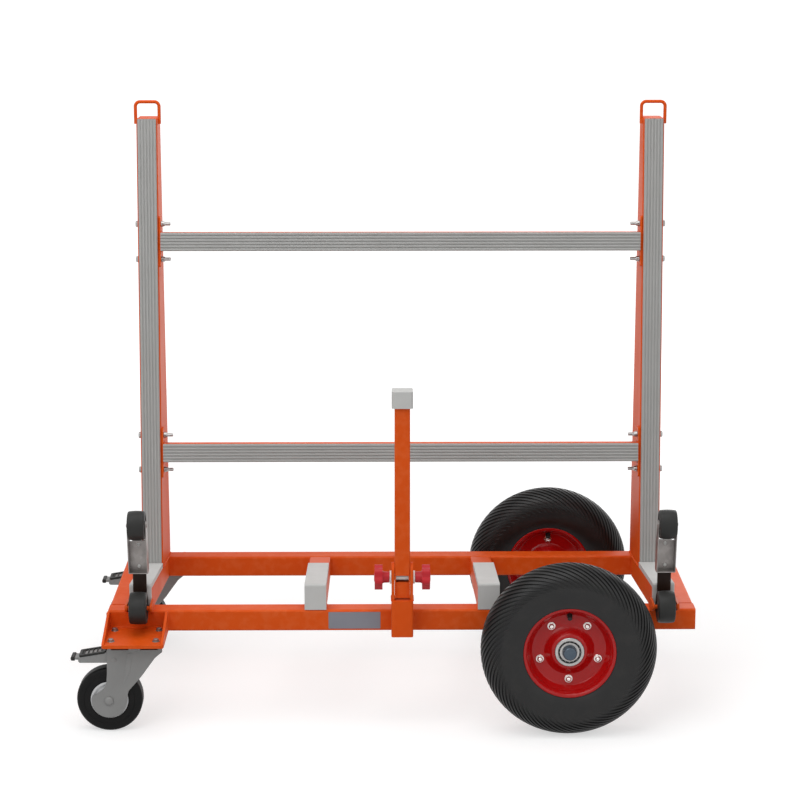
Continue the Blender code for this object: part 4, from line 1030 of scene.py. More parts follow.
@dataclass
class WeldedFrame(SubAssembly):
    """The rails, end members, seat bars and caster brackets, with their weld beads."""

    bead: float = 0.0026
    bracket_x: float = -0.608
    bracket_length: float = 0.14
    bracket_reach: float = 0.13
    bracket_plate: float = 0.008
    bracket_corner: float = 0.008
    gusset: float = 0.006
    middle_spacing: float = 0.3986
    lug: float = 0.005
    lug_radius: float = 0.008
    plate_x: Point2 = (-0.1695, -0.05)
    plate_z: Point2 = (0.2175, 0.2572)

    def build(self) -> None:
        """Build every piece of the welded frame."""
        for side in BOTH:
            self.rail(side)
            self.end_member(side)
        for label, x in self.seat_places():
            self.seat_bar(label, x)
            self.seat_pad(label, x)
        self.bare_plate()

    def seat_places(self) -> tuple[tuple[str, float], ...]:
        """Return each seat's name and its place along X, from the left."""
        half, end = self.middle_spacing / 2, self.lay.upright_x
        return (
            ("left_end", -end), ("left_middle", -half), ("right_middle", half), ("right_end", end)
        )

    def square_tube(self, name: str, axis: Axis, span: Point2, middle: Point2) -> Mesh:
        """Build a length of the frame's square tube.

        Args:
            name: The mesh's name.
            axis: The direction that it runs in.
            span: Where it starts and ends.
            middle: Its middle line in the axis's own two coordinates.

        Returns:
            The tube, with round corners and an open bore.
        """
        lay = self.lay
        outer = rounded_box(lay.tube, lay.tube, lay.corner)
        inner = lay.tube - 2 * lay.wall
        bore = rounded_box(inner, inner, lay.corner - lay.wall, 3)
        return prism(name, [shifted(outer, *middle), shifted(bore, *middle)], axis, span, 0.0004, 1)

    def rail(self, side: int) -> None:
        """Build a long rail with the bracket that carries its caster.

        Args:
            side: -1 for the front rail, 1 for the rear one.
        """
        lay, name = self.lay, row_name(side) + "_rail"
        half = lay.length / 2
        meshes = [self.square_tube(name, Axis.X, (-half, half), (side * lay.rail_y, lay.rail_z))]
        meshes += self.bracket(side)
        if side < 0:
            meshes += self.roller_lugs()
        self.shop.fit(name + "_welded", meshes, ORANGE_PAINT, replaces=[name])
        self.shop.weld(name, self.rail_seams(side), self.bead)

    def bracket(self, side: int) -> list[Mesh]:
        """Build the shelf and the two gussets that carry a caster.

        Args:
            side: -1 for the front row, 1 for the rear one.

        Returns:
            The bracket's meshes.
        """
        lay = self.lay
        low, top = lay.shelf_low, lay.shelf_low + self.bracket_plate
        root, tip = lay.half_width - 0.002, lay.half_width + self.bracket_reach
        half = self.bracket_length / 2
        shelf_outline = [(-half, root), (half, root), (half, tip)]
        corner = self.bracket_corner
        shelf_outline[2:] = arc((half - corner, tip - corner), corner, 0, 90, 4)
        shelf_outline += arc((-half + corner, tip - corner), corner, 90, 180, 4)
        outline = [(self.bracket_x + x, side * y) for x, y in shelf_outline]
        meshes = [prism("bracket_shelf", [outline], Axis.Z, (low, top), 0.0012, 2)]
        crest = lay.deck - 0.002
        low_edge, far = low + 0.002, side * (tip - 0.003)
        gusset_outline = [
            (side * root, low_edge), (side * root, crest), (side * (root + 0.006), crest),
            (side * (tip - 0.008), top + 0.004), (far, top + 0.001), (far, low_edge),
        ]
        for end in BOTH:
            middle = self.bracket_x + end * (half - self.gusset / 2 - 0.0005)
            span = (middle - self.gusset / 2, middle + self.gusset / 2)
            meshes.append(prism("bracket_gusset", [gusset_outline], Axis.X, span, 0.001, 2))
        return meshes

    def roller_lugs(self) -> list[Mesh]:
        """Build the lugs and pins that hold the lower rollers, welded to the front rail."""
        lay, meshes = self.lay, []
        axis_y, axis_z = RollerUnit.lower_y, RollerUnit.lower_z
        inside, face = lay.tube / 2 + 2 * lay.gap, -lay.half_width
        outline = arc((axis_y, axis_z), self.lug_radius, 90, 270, 12)
        outline += [(face, lay.deck - lay.corner), (face + 0.022, lay.deck - 0.002)]
        outline += [(face + 0.022, axis_z), (face, axis_z + self.lug_radius)]
        for side in BOTH:
            centre = side * lay.upright_x
            for end in BOTH:
                near = centre + end * inside
                span = (near, near + end * self.lug)
                meshes.append(prism("roller_lug", [outline], Axis.X, span, 0.0008, 2))
            reach = inside + self.lug / 2
            pin = [(0, -reach), (0.005, -reach), (0.005, reach), (0, reach)]
            meshes.append(turned("roller_pin", pin, Axis.X, (centre, axis_y, axis_z), 24))
        return meshes

    def rail_seams(self, side: int) -> list[Line]:
        """Lay out the weld seams of a long rail.

        Args:
            side: -1 for the front rail, 1 for the rear one.

        Returns:
            The seams.
        """
        lay = self.lay
        face, inner, half = side * lay.half_width, side * lay.inner_y, self.bracket_length / 2
        top = lay.shelf_low + self.bracket_plate
        low, high = lay.rail_bottom + SEAM_INSET, lay.deck - SEAM_INSET
        left = self.bracket_x - half + self.bracket_corner
        right = self.bracket_x + half - self.bracket_corner
        paths = [[(left, face, top + 0.001), (right, face, top + 0.001)]]
        for end in BOTH:
            x = self.bracket_x + end * (half - 0.0005)
            paths.append([(x, face, top), (x, face, high)])
            member = end * (lay.length / 2 - lay.tube)
            paths.append([(member, inner, low), (member, inner, high)])
        for _, x in self.seat_places():
            for edge in BOTH:
                at = x + edge * (lay.tube / 2 - 0.0005)
                if side > 0:
                    paths.append([(at, inner, low), (at, inner, high)])
                else:
                    near, far = -lay.half_width + 0.016, -lay.inner_y - SEAM_INSET
                    paths.append([(at, near, lay.deck), (at, far, lay.deck)])
        return paths

    def end_member(self, side: int) -> None:
        """Build the cross member at an end of the frame.

        Args:
            side: -1 for the left end, 1 for the right one.
        """
        lay, name = self.lay, end_name(side) + "_end_member"
        reach = lay.inner_y - lay.gap
        x = side * (lay.length - lay.tube) / 2
        tube = self.square_tube(name, Axis.Y, (-reach, reach), (x, lay.rail_z))
        self.shop.fit(name + "_tube", tube, ORANGE_PAINT, replaces=[name])

    def seat_bar(self, label: str, x: float) -> None:
        """Build a sloping bar that the slabs' pads lie on.

        Args:
            label: Which seat it is.
            x: Its middle along X.
        """
        lay = self.lay
        deep = lay.tube / math.cos(lay.slope)
        front, notch = -lay.half_width + lay.pad + lay.gap, -lay.inner_y + lay.gap
        rear, floor = lay.inner_y - lay.gap, lay.deck + lay.gap
        outline = [
            (front, floor), (notch, floor), (notch, lay.seat_height(notch) - deep),
            (rear, lay.seat_height(rear) - deep), (rear, lay.seat_height(rear)),
            (front, lay.seat_height(front)),
        ]
        name = label + "_seat_bar"
        bar = prism(name, [outline], Axis.X, lay.bar(x), 0.0042, 4)
        self.shop.fit(name + "_tube", bar, ORANGE_PAINT, replaces=[name])

    def seat_pad(self, label: str, x: float) -> None:
        """Build the rubber pad that wraps a seat bar's top and front end.

        Args:
            label: Which seat it is.
            x: Its middle along X.
        """
        lay, name = self.lay, label + "_seat_pad"
        rise, corner = lay.pad / math.cos(lay.slope), 0.006
        front, inner = -lay.half_width, -lay.half_width + lay.pad
        crest, seat = front + corner, lay.seat_height(lay.pad_back)
        outline = [
            (lay.facing_y(seat) - 2 * lay.gap, seat + lay.gap),
            (lay.pad_back - 2 * lay.gap, lay.back_z),
            (crest + 0.002, lay.seat_height(crest + 0.002) + rise),
        ]
        outline += arc((crest, lay.seat_height(front) + rise - corner), corner, 100, 180, 8)
        bottom = lay.deck + lay.gap
        outline += [(front, bottom), (inner, bottom), (inner, lay.seat_height(inner) + lay.gap)]
        pad = prism(name, [outline], Axis.X, lay.bar(x), 0.0016, 3)
        self.shop.fit(name + "_rubber", pad, PAD_RUBBER, replaces=[name])

    def bare_plate(self) -> None:
        """Lay the bare rating plate on the front rail."""
        (left, right), (low, high) = self.plate_x, self.plate_z
        outline = rounded_box(right - left, high - low, 0.0015, 4)
        outline = shifted(outline, (left + right) / 2, (low + high) / 2)
        face = -self.lay.half_width
        plate = prism("bare_plate", [outline], Axis.Y, (face - 0.0006, face + 0.0002), 0.0002, 1)
        self.shop.fit("bare_plate", plate, BARE_PLATE)


@dataclass
class LeaningBack(SubAssembly):
    """The uprights with their lifting loops, the cross rails, the ribbed facings and the bolts."""

    height: float = 1.0657
    back_bottom: float = 0.243
    back_top: float = 0.222
    facing_width: float = 0.044
    facing_depth: float = 0.006
    rib_height: float = 0.0022
    ribs: int = 6
    rib_share: float = 0.64
    rail_places: Point2 = (0.2677, 0.7752)
    rail_height: float = 0.045
    rail_depth: float = 0.03
    plate_height: float = 0.12
    plate_depth: float = 0.036
    plate: float = 0.004
    loop_rod: float = 0.008
    loop_height: float = 0.042
    loop_bend: float = 0.011
    loop_root: float = 0.014
    loop_back: float = 0.02
    upright_bead: float = 0.0024
    rail_bead: float = 0.0022
    bolt_spacing: float = 0.084

    def build(self) -> None:
        """Build every piece of the leaning back."""
        for side in BOTH:
            self.upright(side)
        for label, up in zip(("lower", "upper"), self.rail_places):
            self.cross_rail(label, up)
        WingBolts(self.shop, self.lay, self).build()

    @property
    def bolt_depth(self) -> float:
        """How far behind the leaning plane the cross rails' middle lies."""
        return self.facing_depth + self.lay.gap + self.rail_depth / 2

    @property
    def inside(self) -> float:
        """Half of the clear width between the uprights."""
        return self.lay.upright_x - self.lay.tube / 2 - self.lay.gap

    def upright(self, side: int) -> None:
        """Build an upright, its lifting loop and its ribbed facing.

        Args:
            side: -1 for the left one, 1 for the right one.
        """
        lay, name = self.lay, end_name(side) + "_upright"
        top = (lay.leaning() @ Vector((0, 0, self.height))).z
        depth = (self.facing_depth + lay.gap) / math.cos(lay.lean)
        foot = lay.facing_y(lay.seat_height(lay.pad_back)) + depth
        floor = lay.deck + lay.gap
        outline = [
            (foot, lay.seat_height(foot) + lay.gap), (lay.inner_y, floor),
            (self.back_bottom, floor),
            (self.back_top, top), (lay.facing_y(top) + depth, top),
        ]
        x, half = side * lay.upright_x, lay.tube / 2
        meshes = [prism(name, [outline], Axis.X, lay.bar(x), 0.004, 4)]
        leg, bend = half + self.loop_rod / 2 - 0.001, self.loop_bend
        crown = self.loop_height - self.loop_rod / 2
        line = [(-leg, -self.loop_root)] + arc((-leg + bend, crown - bend), bend, 180, 90, 8)
        line += arc((leg - bend, crown - bend), bend, 90, 0, 8) + [(leg, -self.loop_root)]
        loop_y = lay.facing_y(top) + depth + self.loop_back
        points = [(x + u, loop_y, top + v) for u, v in line]
        meshes.append(rod(name + "_loop", points, self.loop_rod / 2))
        self.shop.fit(name + "_profile", meshes, ORANGE_PAINT, replaces=[name])
        paths, toe = [], foot + SEAM_INSET
        for edge in BOTH:
            at = x + edge * lay.tube / 2
            for along in BOTH:
                y = loop_y + along * self.loop_rod / 2
                paths.append([(at, y, top - 0.013), (at, y, top - 0.002)])
            paths.append([(at, toe, lay.seat_height(toe)), (at, lay.inner_y, floor)])
            paths.append([(at, lay.inner_y, floor), (at, self.back_bottom - SEAM_INSET, floor)])
        self.shop.weld(name, paths, self.upright_bead)
        low = -lay.pad / math.cos(lay.slope) + 2 * lay.gap
        strip = self.strip(name + "_facing", Axis.Z, (low, self.height), x)
        self.shop.fit(name + "_facing_ribbed", strip, RIB_RUBBER, replaces=[name + "_facing"])

    def strip(self, name: str, axis: Axis, span: Point2, middle: float) -> list[Mesh]:
        """Build a ribbed rubber strip on the leaning plane.

        Args:
            name: The mesh's name.
            axis: Z for an upright's strip, X for a cross rail's.
            span: Where it starts and ends along that axis.
            middle: Its middle across.

        Returns:
            The backing and its ribs.
        """
        half, rise = self.facing_width / 2, self.rib_height
        pitch = self.facing_width / self.ribs
        order = 1 if axis is Axis.Z else -1
        low, high = (middle - half, rise, span[0]), (middle + half, self.facing_depth, span[1])
        base = block(name, low[::order], high[::order], 0.0004, 1)
        size, lift = (pitch * self.rib_share, 2 * rise), (0, rise)
        section = shifted(rounded_box(*size[::order], 0.0011, 3), *lift[::order])
        item = prism(name + "_rib", [section], axis, span, 0.0)
        step, start = (pitch, 0, 0), (middle - half + pitch / 2, 0, 0)
        ribs = ROW.run(
            name + "_ribs", item, RIB_RUBBER, self.ribs, step[::order], start[::order]
        )
        return [moved(mesh, self.lay.leaning()) for mesh in (base, ribs)]

    def cross_rail(self, label: str, up: float) -> None:
        """Build a cross rail with its end plates and its ribbed facing.

        Args:
            label: Which rail it is.
            up: Its height along the leaning plane.
        """
        lay, name = self.lay, label + "_cross_rail"
        half = self.inside - self.plate
        depth, height = self.rail_depth, self.rail_height
        outer = rounded_box(depth, height, 0.0045)
        bore = rounded_box(depth - 2 * lay.wall, height - 2 * lay.wall, 0.0015, 2)
        outlines = [shifted(outline, self.bolt_depth, up) for outline in (outer, bore)]
        meshes, paths = [prism(name, outlines, Axis.X, (-half, half), 0.0, 1)], []
        near = self.facing_depth + lay.gap
        back = near + depth
        shape = rounded_box(self.plate_depth, self.plate_height, 0.004)
        shape = shifted(shape, near + self.plate_depth / 2, up)
        for side in BOTH:
            x = side * self.inside
            at = x - side * self.plate
            meshes.append(prism(name + "_plate", [shape], Axis.X, (x, at), 0.0008, 2))
            for edge in BOTH:
                z = up + edge * height / 2
                paths.append([(at, near + 0.004, z), (at, near + depth - 0.004, z)])
            paths.append([(at, back, up - height / 2 + 0.004), (at, back, up + height / 2 - 0.004)])
        turn = lay.leaning()
        meshes = [moved(mesh, turn) for mesh in meshes]
        self.shop.fit(name + "_tube", meshes, ORANGE_PAINT, replaces=[name])
        self.shop.weld(name, paths, self.rail_bead, turn)
        name = label + "_rail_facing"
        facing = self.strip(name, Axis.X, (-half, half), up)
        self.shop.fit(name + "_ribbed", facing, RIB_RUBBER, replaces=[name])


@dataclass
class WingBolts(SubAssembly):
    """The hexagon bolts with wing nuts that hold the cross rails to the uprights."""

    back: LeaningBack
    radius: float = 0.004
    head_radius: float = 0.0075
    head_height: float = 0.0053
    tip: float = 0.022
    hub_radius: float = 0.007
    hub_length: float = 0.008
    span: float = 0.034
    wing: float = 0.0025
    wing_tip: float = 0.014
    pitch: float = 0.00125

    def build(self) -> None:
        """Build the eight bolts."""
        turn = self.lay.leaning()
        for side in BOTH:
            for label, up in zip(("lower", "upper"), self.back.rail_places):
                for order, along in (("bottom", -1), ("top", 1)):
                    name = f"{end_name(side)}_{label}_{order}_wing_bolt"
                    x = side * (self.lay.upright_x + self.lay.tube / 2)
                    z = up + along * self.back.bolt_spacing / 2
                    lie = Matrix.Translation((x, self.back.bolt_depth, z))
                    lie = lie @ Matrix.Rotation(side * math.pi / 2, 4, "Y")
                    mesh = moved(self.bolt(name), turn @ lie)
                    self.shop.fit(name + "_zinc", mesh, BRIGHT_ZINC, replaces=[name])

    def bolt(self, name: str) -> Mesh:
        """Build one bolt along Z, whose zero is the outer face of the upright.

        Args:
            name: The mesh's name.

        Returns:
            The bolt with its head, thread and wing nut.
        """
        gap, radius = self.lay.gap, self.radius
        grip = self.lay.tube + self.back.plate + 3 * gap
        low, base = -grip - self.tip, -grip - gap
        head = moved(hexagon_head(name, self.head_radius, self.head_height), (0, 0, gap))
        shank = [(0, 0), (radius, 0), (radius, low + 0.001), (radius - 0.0009, low), (0, low)]
        meshes = [head, turned(name, shank, steps=20)]
        thread = ring_profile(radius + 0.0002, radius - 0.0012, self.pitch * 0.7)
        thread = turned(name, thread, steps=20, closed=True)
        turns = int((self.tip - self.hub_length - 0.002) / self.pitch)
        start, step = (0, 0, low + 0.0012), (0, 0, self.pitch)
        meshes.append(ROW.run(name + "_thread", thread, BRIGHT_ZINC, turns, step, start))
        end = base - self.hub_length
        hub = [
            (0, base), (self.hub_radius, base), (self.hub_radius, base - 0.002),
            (self.hub_radius * 0.8, end), (0, end),
        ]
        meshes.append(turned(name, hub, steps=28))
        half = self.span / 2
        wing = [(0.0035, -0.0008), (half * 0.62, -0.002), (half * 0.8, -0.0045)]
        wing += arc((half - 0.0042, -self.wing_tip + 0.0042), 0.0042, -20, -200, 8)
        wing += [(half * 0.48, -0.0066), (0.0035, -self.hub_length * 0.85)]
        for side in BOTH:
            outline, span = [(side * u, v) for u, v in wing], (-self.wing / 2, self.wing / 2)
            meshes.append(moved(prism(name, [outline], Axis.X, span, 0.0009, 3), (0, 0, base)))
        return joined(name, meshes)


def ring_profile(outer: float, inner: float, width: float) -> list[Point2]:
    """Draw the diamond section of one turn of a thread, or of a thin round ring."""
    return [(outer, 0), (inner, width / 2), (inner, -width / 2)]


def hexagon_head(name: str, radius: float, height: float) -> Mesh:
    """Build a chamfered hexagon head along Z on its washer face.

    Args:
        name: The mesh's name.
        radius: From the middle to a corner.
        height: The head's whole height.

    Returns:
        The head.
    """
    outline = arc((0, 0), radius, 0, 300, 5)
    body = prism(name, [outline], Axis.Z, (0.0004, height), 0.0006, 2)
    flat, low, top = radius * 0.86, height - 0.0004, height + 0.0003
    washer = turned(name, [(0, 0), (flat, 0), (flat, 0.0006), (0, 0.0006)], steps=24)
    dome = turned(name, [(0, low), (flat, low), (flat * 0.9, top), (0, top)], steps=24)
    return joined(name, [body, washer, dome])


@dataclass
class ClampPost(SubAssembly):
    """The socket on the front rail, the post that folds about its pin, its cap and the knobs."""

    socket_height: float = 0.086
    lid: float = 0.004
    ear_spread: float = 0.049
    ear: float = 0.0064
    ear_radius: float = 0.019
    ear_rise: float = 0.016
    pin_z: float = 0.348
    pin_radius: float = 0.007
    post_width: float = 0.035
    top_z: float = 0.775
    cap_width: float = 0.048
    cap_height: float = 0.038
    cap_wrap: float = 0.029
    washer_radius: float = 0.015
    washer: float = 0.004
    stud_radius: float = 0.005
    stud: float = 0.02
    knob_radius: float = 0.0285
    knob_depth: float = 0.018
    knob_hub: float = 0.0135
    knob_hub_length: float = 0.016
    lobes: int = 6
    lobe_share: float = 0.15
    lobe_steps: int = 96
    knob_turn: float = math.radians(12)
    thread_turns: int = 12
    thread_pitch: float = 0.0015
    mouth_inset: float = 0.0024
    mouth_depth: float = 0.0045
    foot_corner: float = 0.003
    bead: float = 0.0016

    @property
    def post_y(self) -> float:
        """Middle of the post along Y."""
        return -self.lay.half_width - self.lay.tube / 2

    def build(self) -> None:
        """Build every piece of the clamp post."""
        self.socket()
        self.post()
        self.pin()
        for side in BOTH:
            self.knob(side)

    def socket(self) -> None:
        """Build the socket with its lid and ears, and the welds round them."""
        lay, tube = self.lay, self.lay.tube
        y, low = self.post_y - lay.gap / 2, lay.rail_bottom
        top = low + self.socket_height
        outer = shifted(rounded_box(tube, tube - lay.gap, lay.corner), 0, y)
        bore = shifted(rounded_box(tube - 2 * lay.wall, tube - 2 * lay.wall, 0.0025, 3), 0, y)
        lid = shifted(rounded_box(tube - 0.003, tube - 0.003, 0.003), 0, y)
        meshes = [
            prism("socket", [outer, bore], Axis.Z, (low, top), 0.0013, 3),
            prism("socket_lid", [lid], Axis.Z, (top - self.lid, top - 0.0002), 0.0006, 2),
        ]
        near, far = self.post_y - self.ear_radius, self.post_y + self.ear_radius
        outline = arc((self.post_y, self.pin_z + self.ear_rise), self.ear_radius, 0, 180, 20)
        outline += [(near, top - 0.002), (far, top - 0.002)]
        hole = arc((self.post_y, self.pin_z), self.pin_radius + lay.gap, 0, 345, 23)
        seam_y, paths = -lay.half_width - 0.001, []
        for side in BOTH:
            span = (side * self.ear_spread / 2, side * (self.ear_spread / 2 - self.ear))
            meshes.append(prism("socket_ear", [outline, hole], Axis.X, span, 0.0009, 2))
            ear_x = side * (self.ear_spread / 2 + 0.0002)
            paths.append([(ear_x, near, top), (ear_x, far, top)])
            seam = side * (tube / 2 - 0.001)
            paths.append([(seam, seam_y, low + 0.004), (seam, seam_y, lay.deck)])
        self.shop.fit("post_socket_welded", meshes, ORANGE_PAINT, replaces=["post_socket"])
        self.shop.weld("post_socket", paths, self.bead)

    def post(self) -> None:
        """Build the post, with the slot that lets it fold forward, and its moulded cap."""
        lay, half, y = self.lay, self.post_width / 2, self.post_y
        drop = self.pin_z - (lay.rail_bottom + self.socket_height) - 0.001
        low = self.pin_z - math.sqrt(drop**2 - half**2)
        mouth_top = self.pin_z + 0.008
        inner = self.post_width - 2 * lay.wall
        shell = [
            shifted(rounded_box(self.post_width, self.post_width, 0.004), 0, y),
            shifted(rounded_box(inner, inner, 0.0015, 2), 0, y),
        ]
        meshes = [prism("post", shell, Axis.Z, (mouth_top, self.top_z), 0.0004, 1)]
        mouth, wall, lip = half - self.mouth_inset, half - lay.wall, -half + self.mouth_depth
        notch = half - self.foot_corner
        fork = [
            (-mouth, -half), (-mouth, lip), (-wall, lip), (-wall, wall), (wall, wall), (wall, lip),
            (mouth, lip), (mouth, -half), (half, -half), (half, notch), (notch, half),
            (-notch, half), (-half, notch), (-half, -half),
        ]
        foot = (low, mouth_top + 0.0002)
        meshes.append(prism("post_foot", [shifted(fork, 0, y)], Axis.Z, foot, 0.0003, 1))
        front = y - half + 0.005
        low_corner = (-half + 0.001, front, low - 0.001)
        high_corner = (half - 0.001, front + 0.003, self.pin_z - 0.0084)
        meshes.append(block("post_apron", low_corner, high_corner, 0.0006, 2))
        self.shop.fit("clamp_post_tube", meshes, ORANGE_PAINT, "post", ["clamp_post"])
        bottom, inside = self.top_z - self.cap_wrap, self.post_width + 2 * lay.gap
        cap = shifted(rounded_box(self.cap_width, self.cap_width, 0.0065, 8), 0, y)
        room = shifted(rounded_box(inside, inside, 0.004, 4), 0, y)
        body = prism("post_cap", [cap], Axis.Z, (bottom, bottom + self.cap_height), 0.0042, 5)
        pocket = prism("post_cap_room", [room], Axis.Z, (bottom - 0.01, self.top_z + lay.gap), 0)
        self.shop.fit("post_cap_moulded", hollowed(body, pocket), PAD_RUBBER, "post", ["post_cap"])

    def pin(self) -> None:
        """Build the hinge pin with its washers and threaded ends."""
        outer, rim, stud = self.ear_spread / 2 + self.lay.gap, 0.0006, self.stud_radius
        end = outer + self.washer
        tip, washer = end + self.stud, self.washer_radius
        half = [
            (stud - 0.001, tip), (stud, tip - 0.001), (stud, end), (washer - rim, end),
            (washer, end - rim), (washer, outer + rim), (washer - rim, outer),
            (self.pin_radius, outer),
        ]
        profile = [
            (0, tip), *half, *((radius, -height) for radius, height in reversed(half)), (0, -tip)
        ]
        meshes = [turned("hinge_pin", profile, Axis.X, (0, self.post_y, self.pin_z), 40)]
        ring = ring_profile(stud + 0.0001, stud - 0.001, 0.0011)
        for side in BOTH:
            turn = turned("pin_thread", ring, Axis.X, steps=20, closed=True)
            start = (side * (end + 0.001), self.post_y, self.pin_z)
            step = (side * self.thread_pitch, 0, 0)
            meshes.append(ROW.run("pin_threads", turn, HIGHLIGHT_PAINTED_ZINC, self.thread_turns, step, start))
        # The pin and its threads are drawn near white, which is a painted highlight.
        self.shop.fit("hinge_pin_zinc", meshes, HIGHLIGHT_PAINTED_ZINC, replaces=["hinge_pin"])

    def knob(self, side: int) -> None:
        """Build a star knob on the pin's end.

        Args:
            side: -1 for the left knob, 1 for the right one.
        """
        outline = []
        for step in range(self.lobe_steps):
            angle = FULL_TURN * step / self.lobe_steps
            radius = self.knob_radius * (
                1 - self.lobe_share * (1 - math.cos(self.lobes * angle)) / 2
            )
            outline.append((radius * math.cos(angle), radius * math.sin(angle)))
        start = self.ear_spread / 2 + 2 * self.lay.gap + self.washer
        near = start + self.knob_hub_length
        far = near + self.knob_depth
        hub, bore = self.knob_hub, self.stud_radius + self.lay.gap
        neck = [
            (bore, start), (hub - 0.002, start), (hub - 0.001, start + 0.001),
            (hub - 0.0005, near - 0.003), (hub + 0.002, near + 0.001), (bore, near + 0.001),
        ]
        boss = [(0, -0.001), (0.0105, -0.001), (0.01, 0.0008), (0.0085, 0.0012), (0, 0.0006)]
        meshes = [
            prism("knob_star", [outline], Axis.X, (near, far), 0.0042, 4),
            turned("knob_hub", neck, Axis.X, steps=40, closed=True),
            turned("knob_boss", shifted(boss, 0, far), Axis.X, steps=36),
        ]
        place = Matrix.Translation((0, self.post_y, self.pin_z))
        place = place @ Matrix.Rotation(self.knob_turn, 4, "X")
        if side < 0:
            place = place @ Matrix.Rotation(math.pi, 4, "Z")
        name = end_name(side)
        knob = [moved(mesh, place) for mesh in meshes]
        title = name + "_star_knob"
        self.shop.fit(title + "_moulded", knob, KNOB_PLASTIC, name + "_knob", [title])


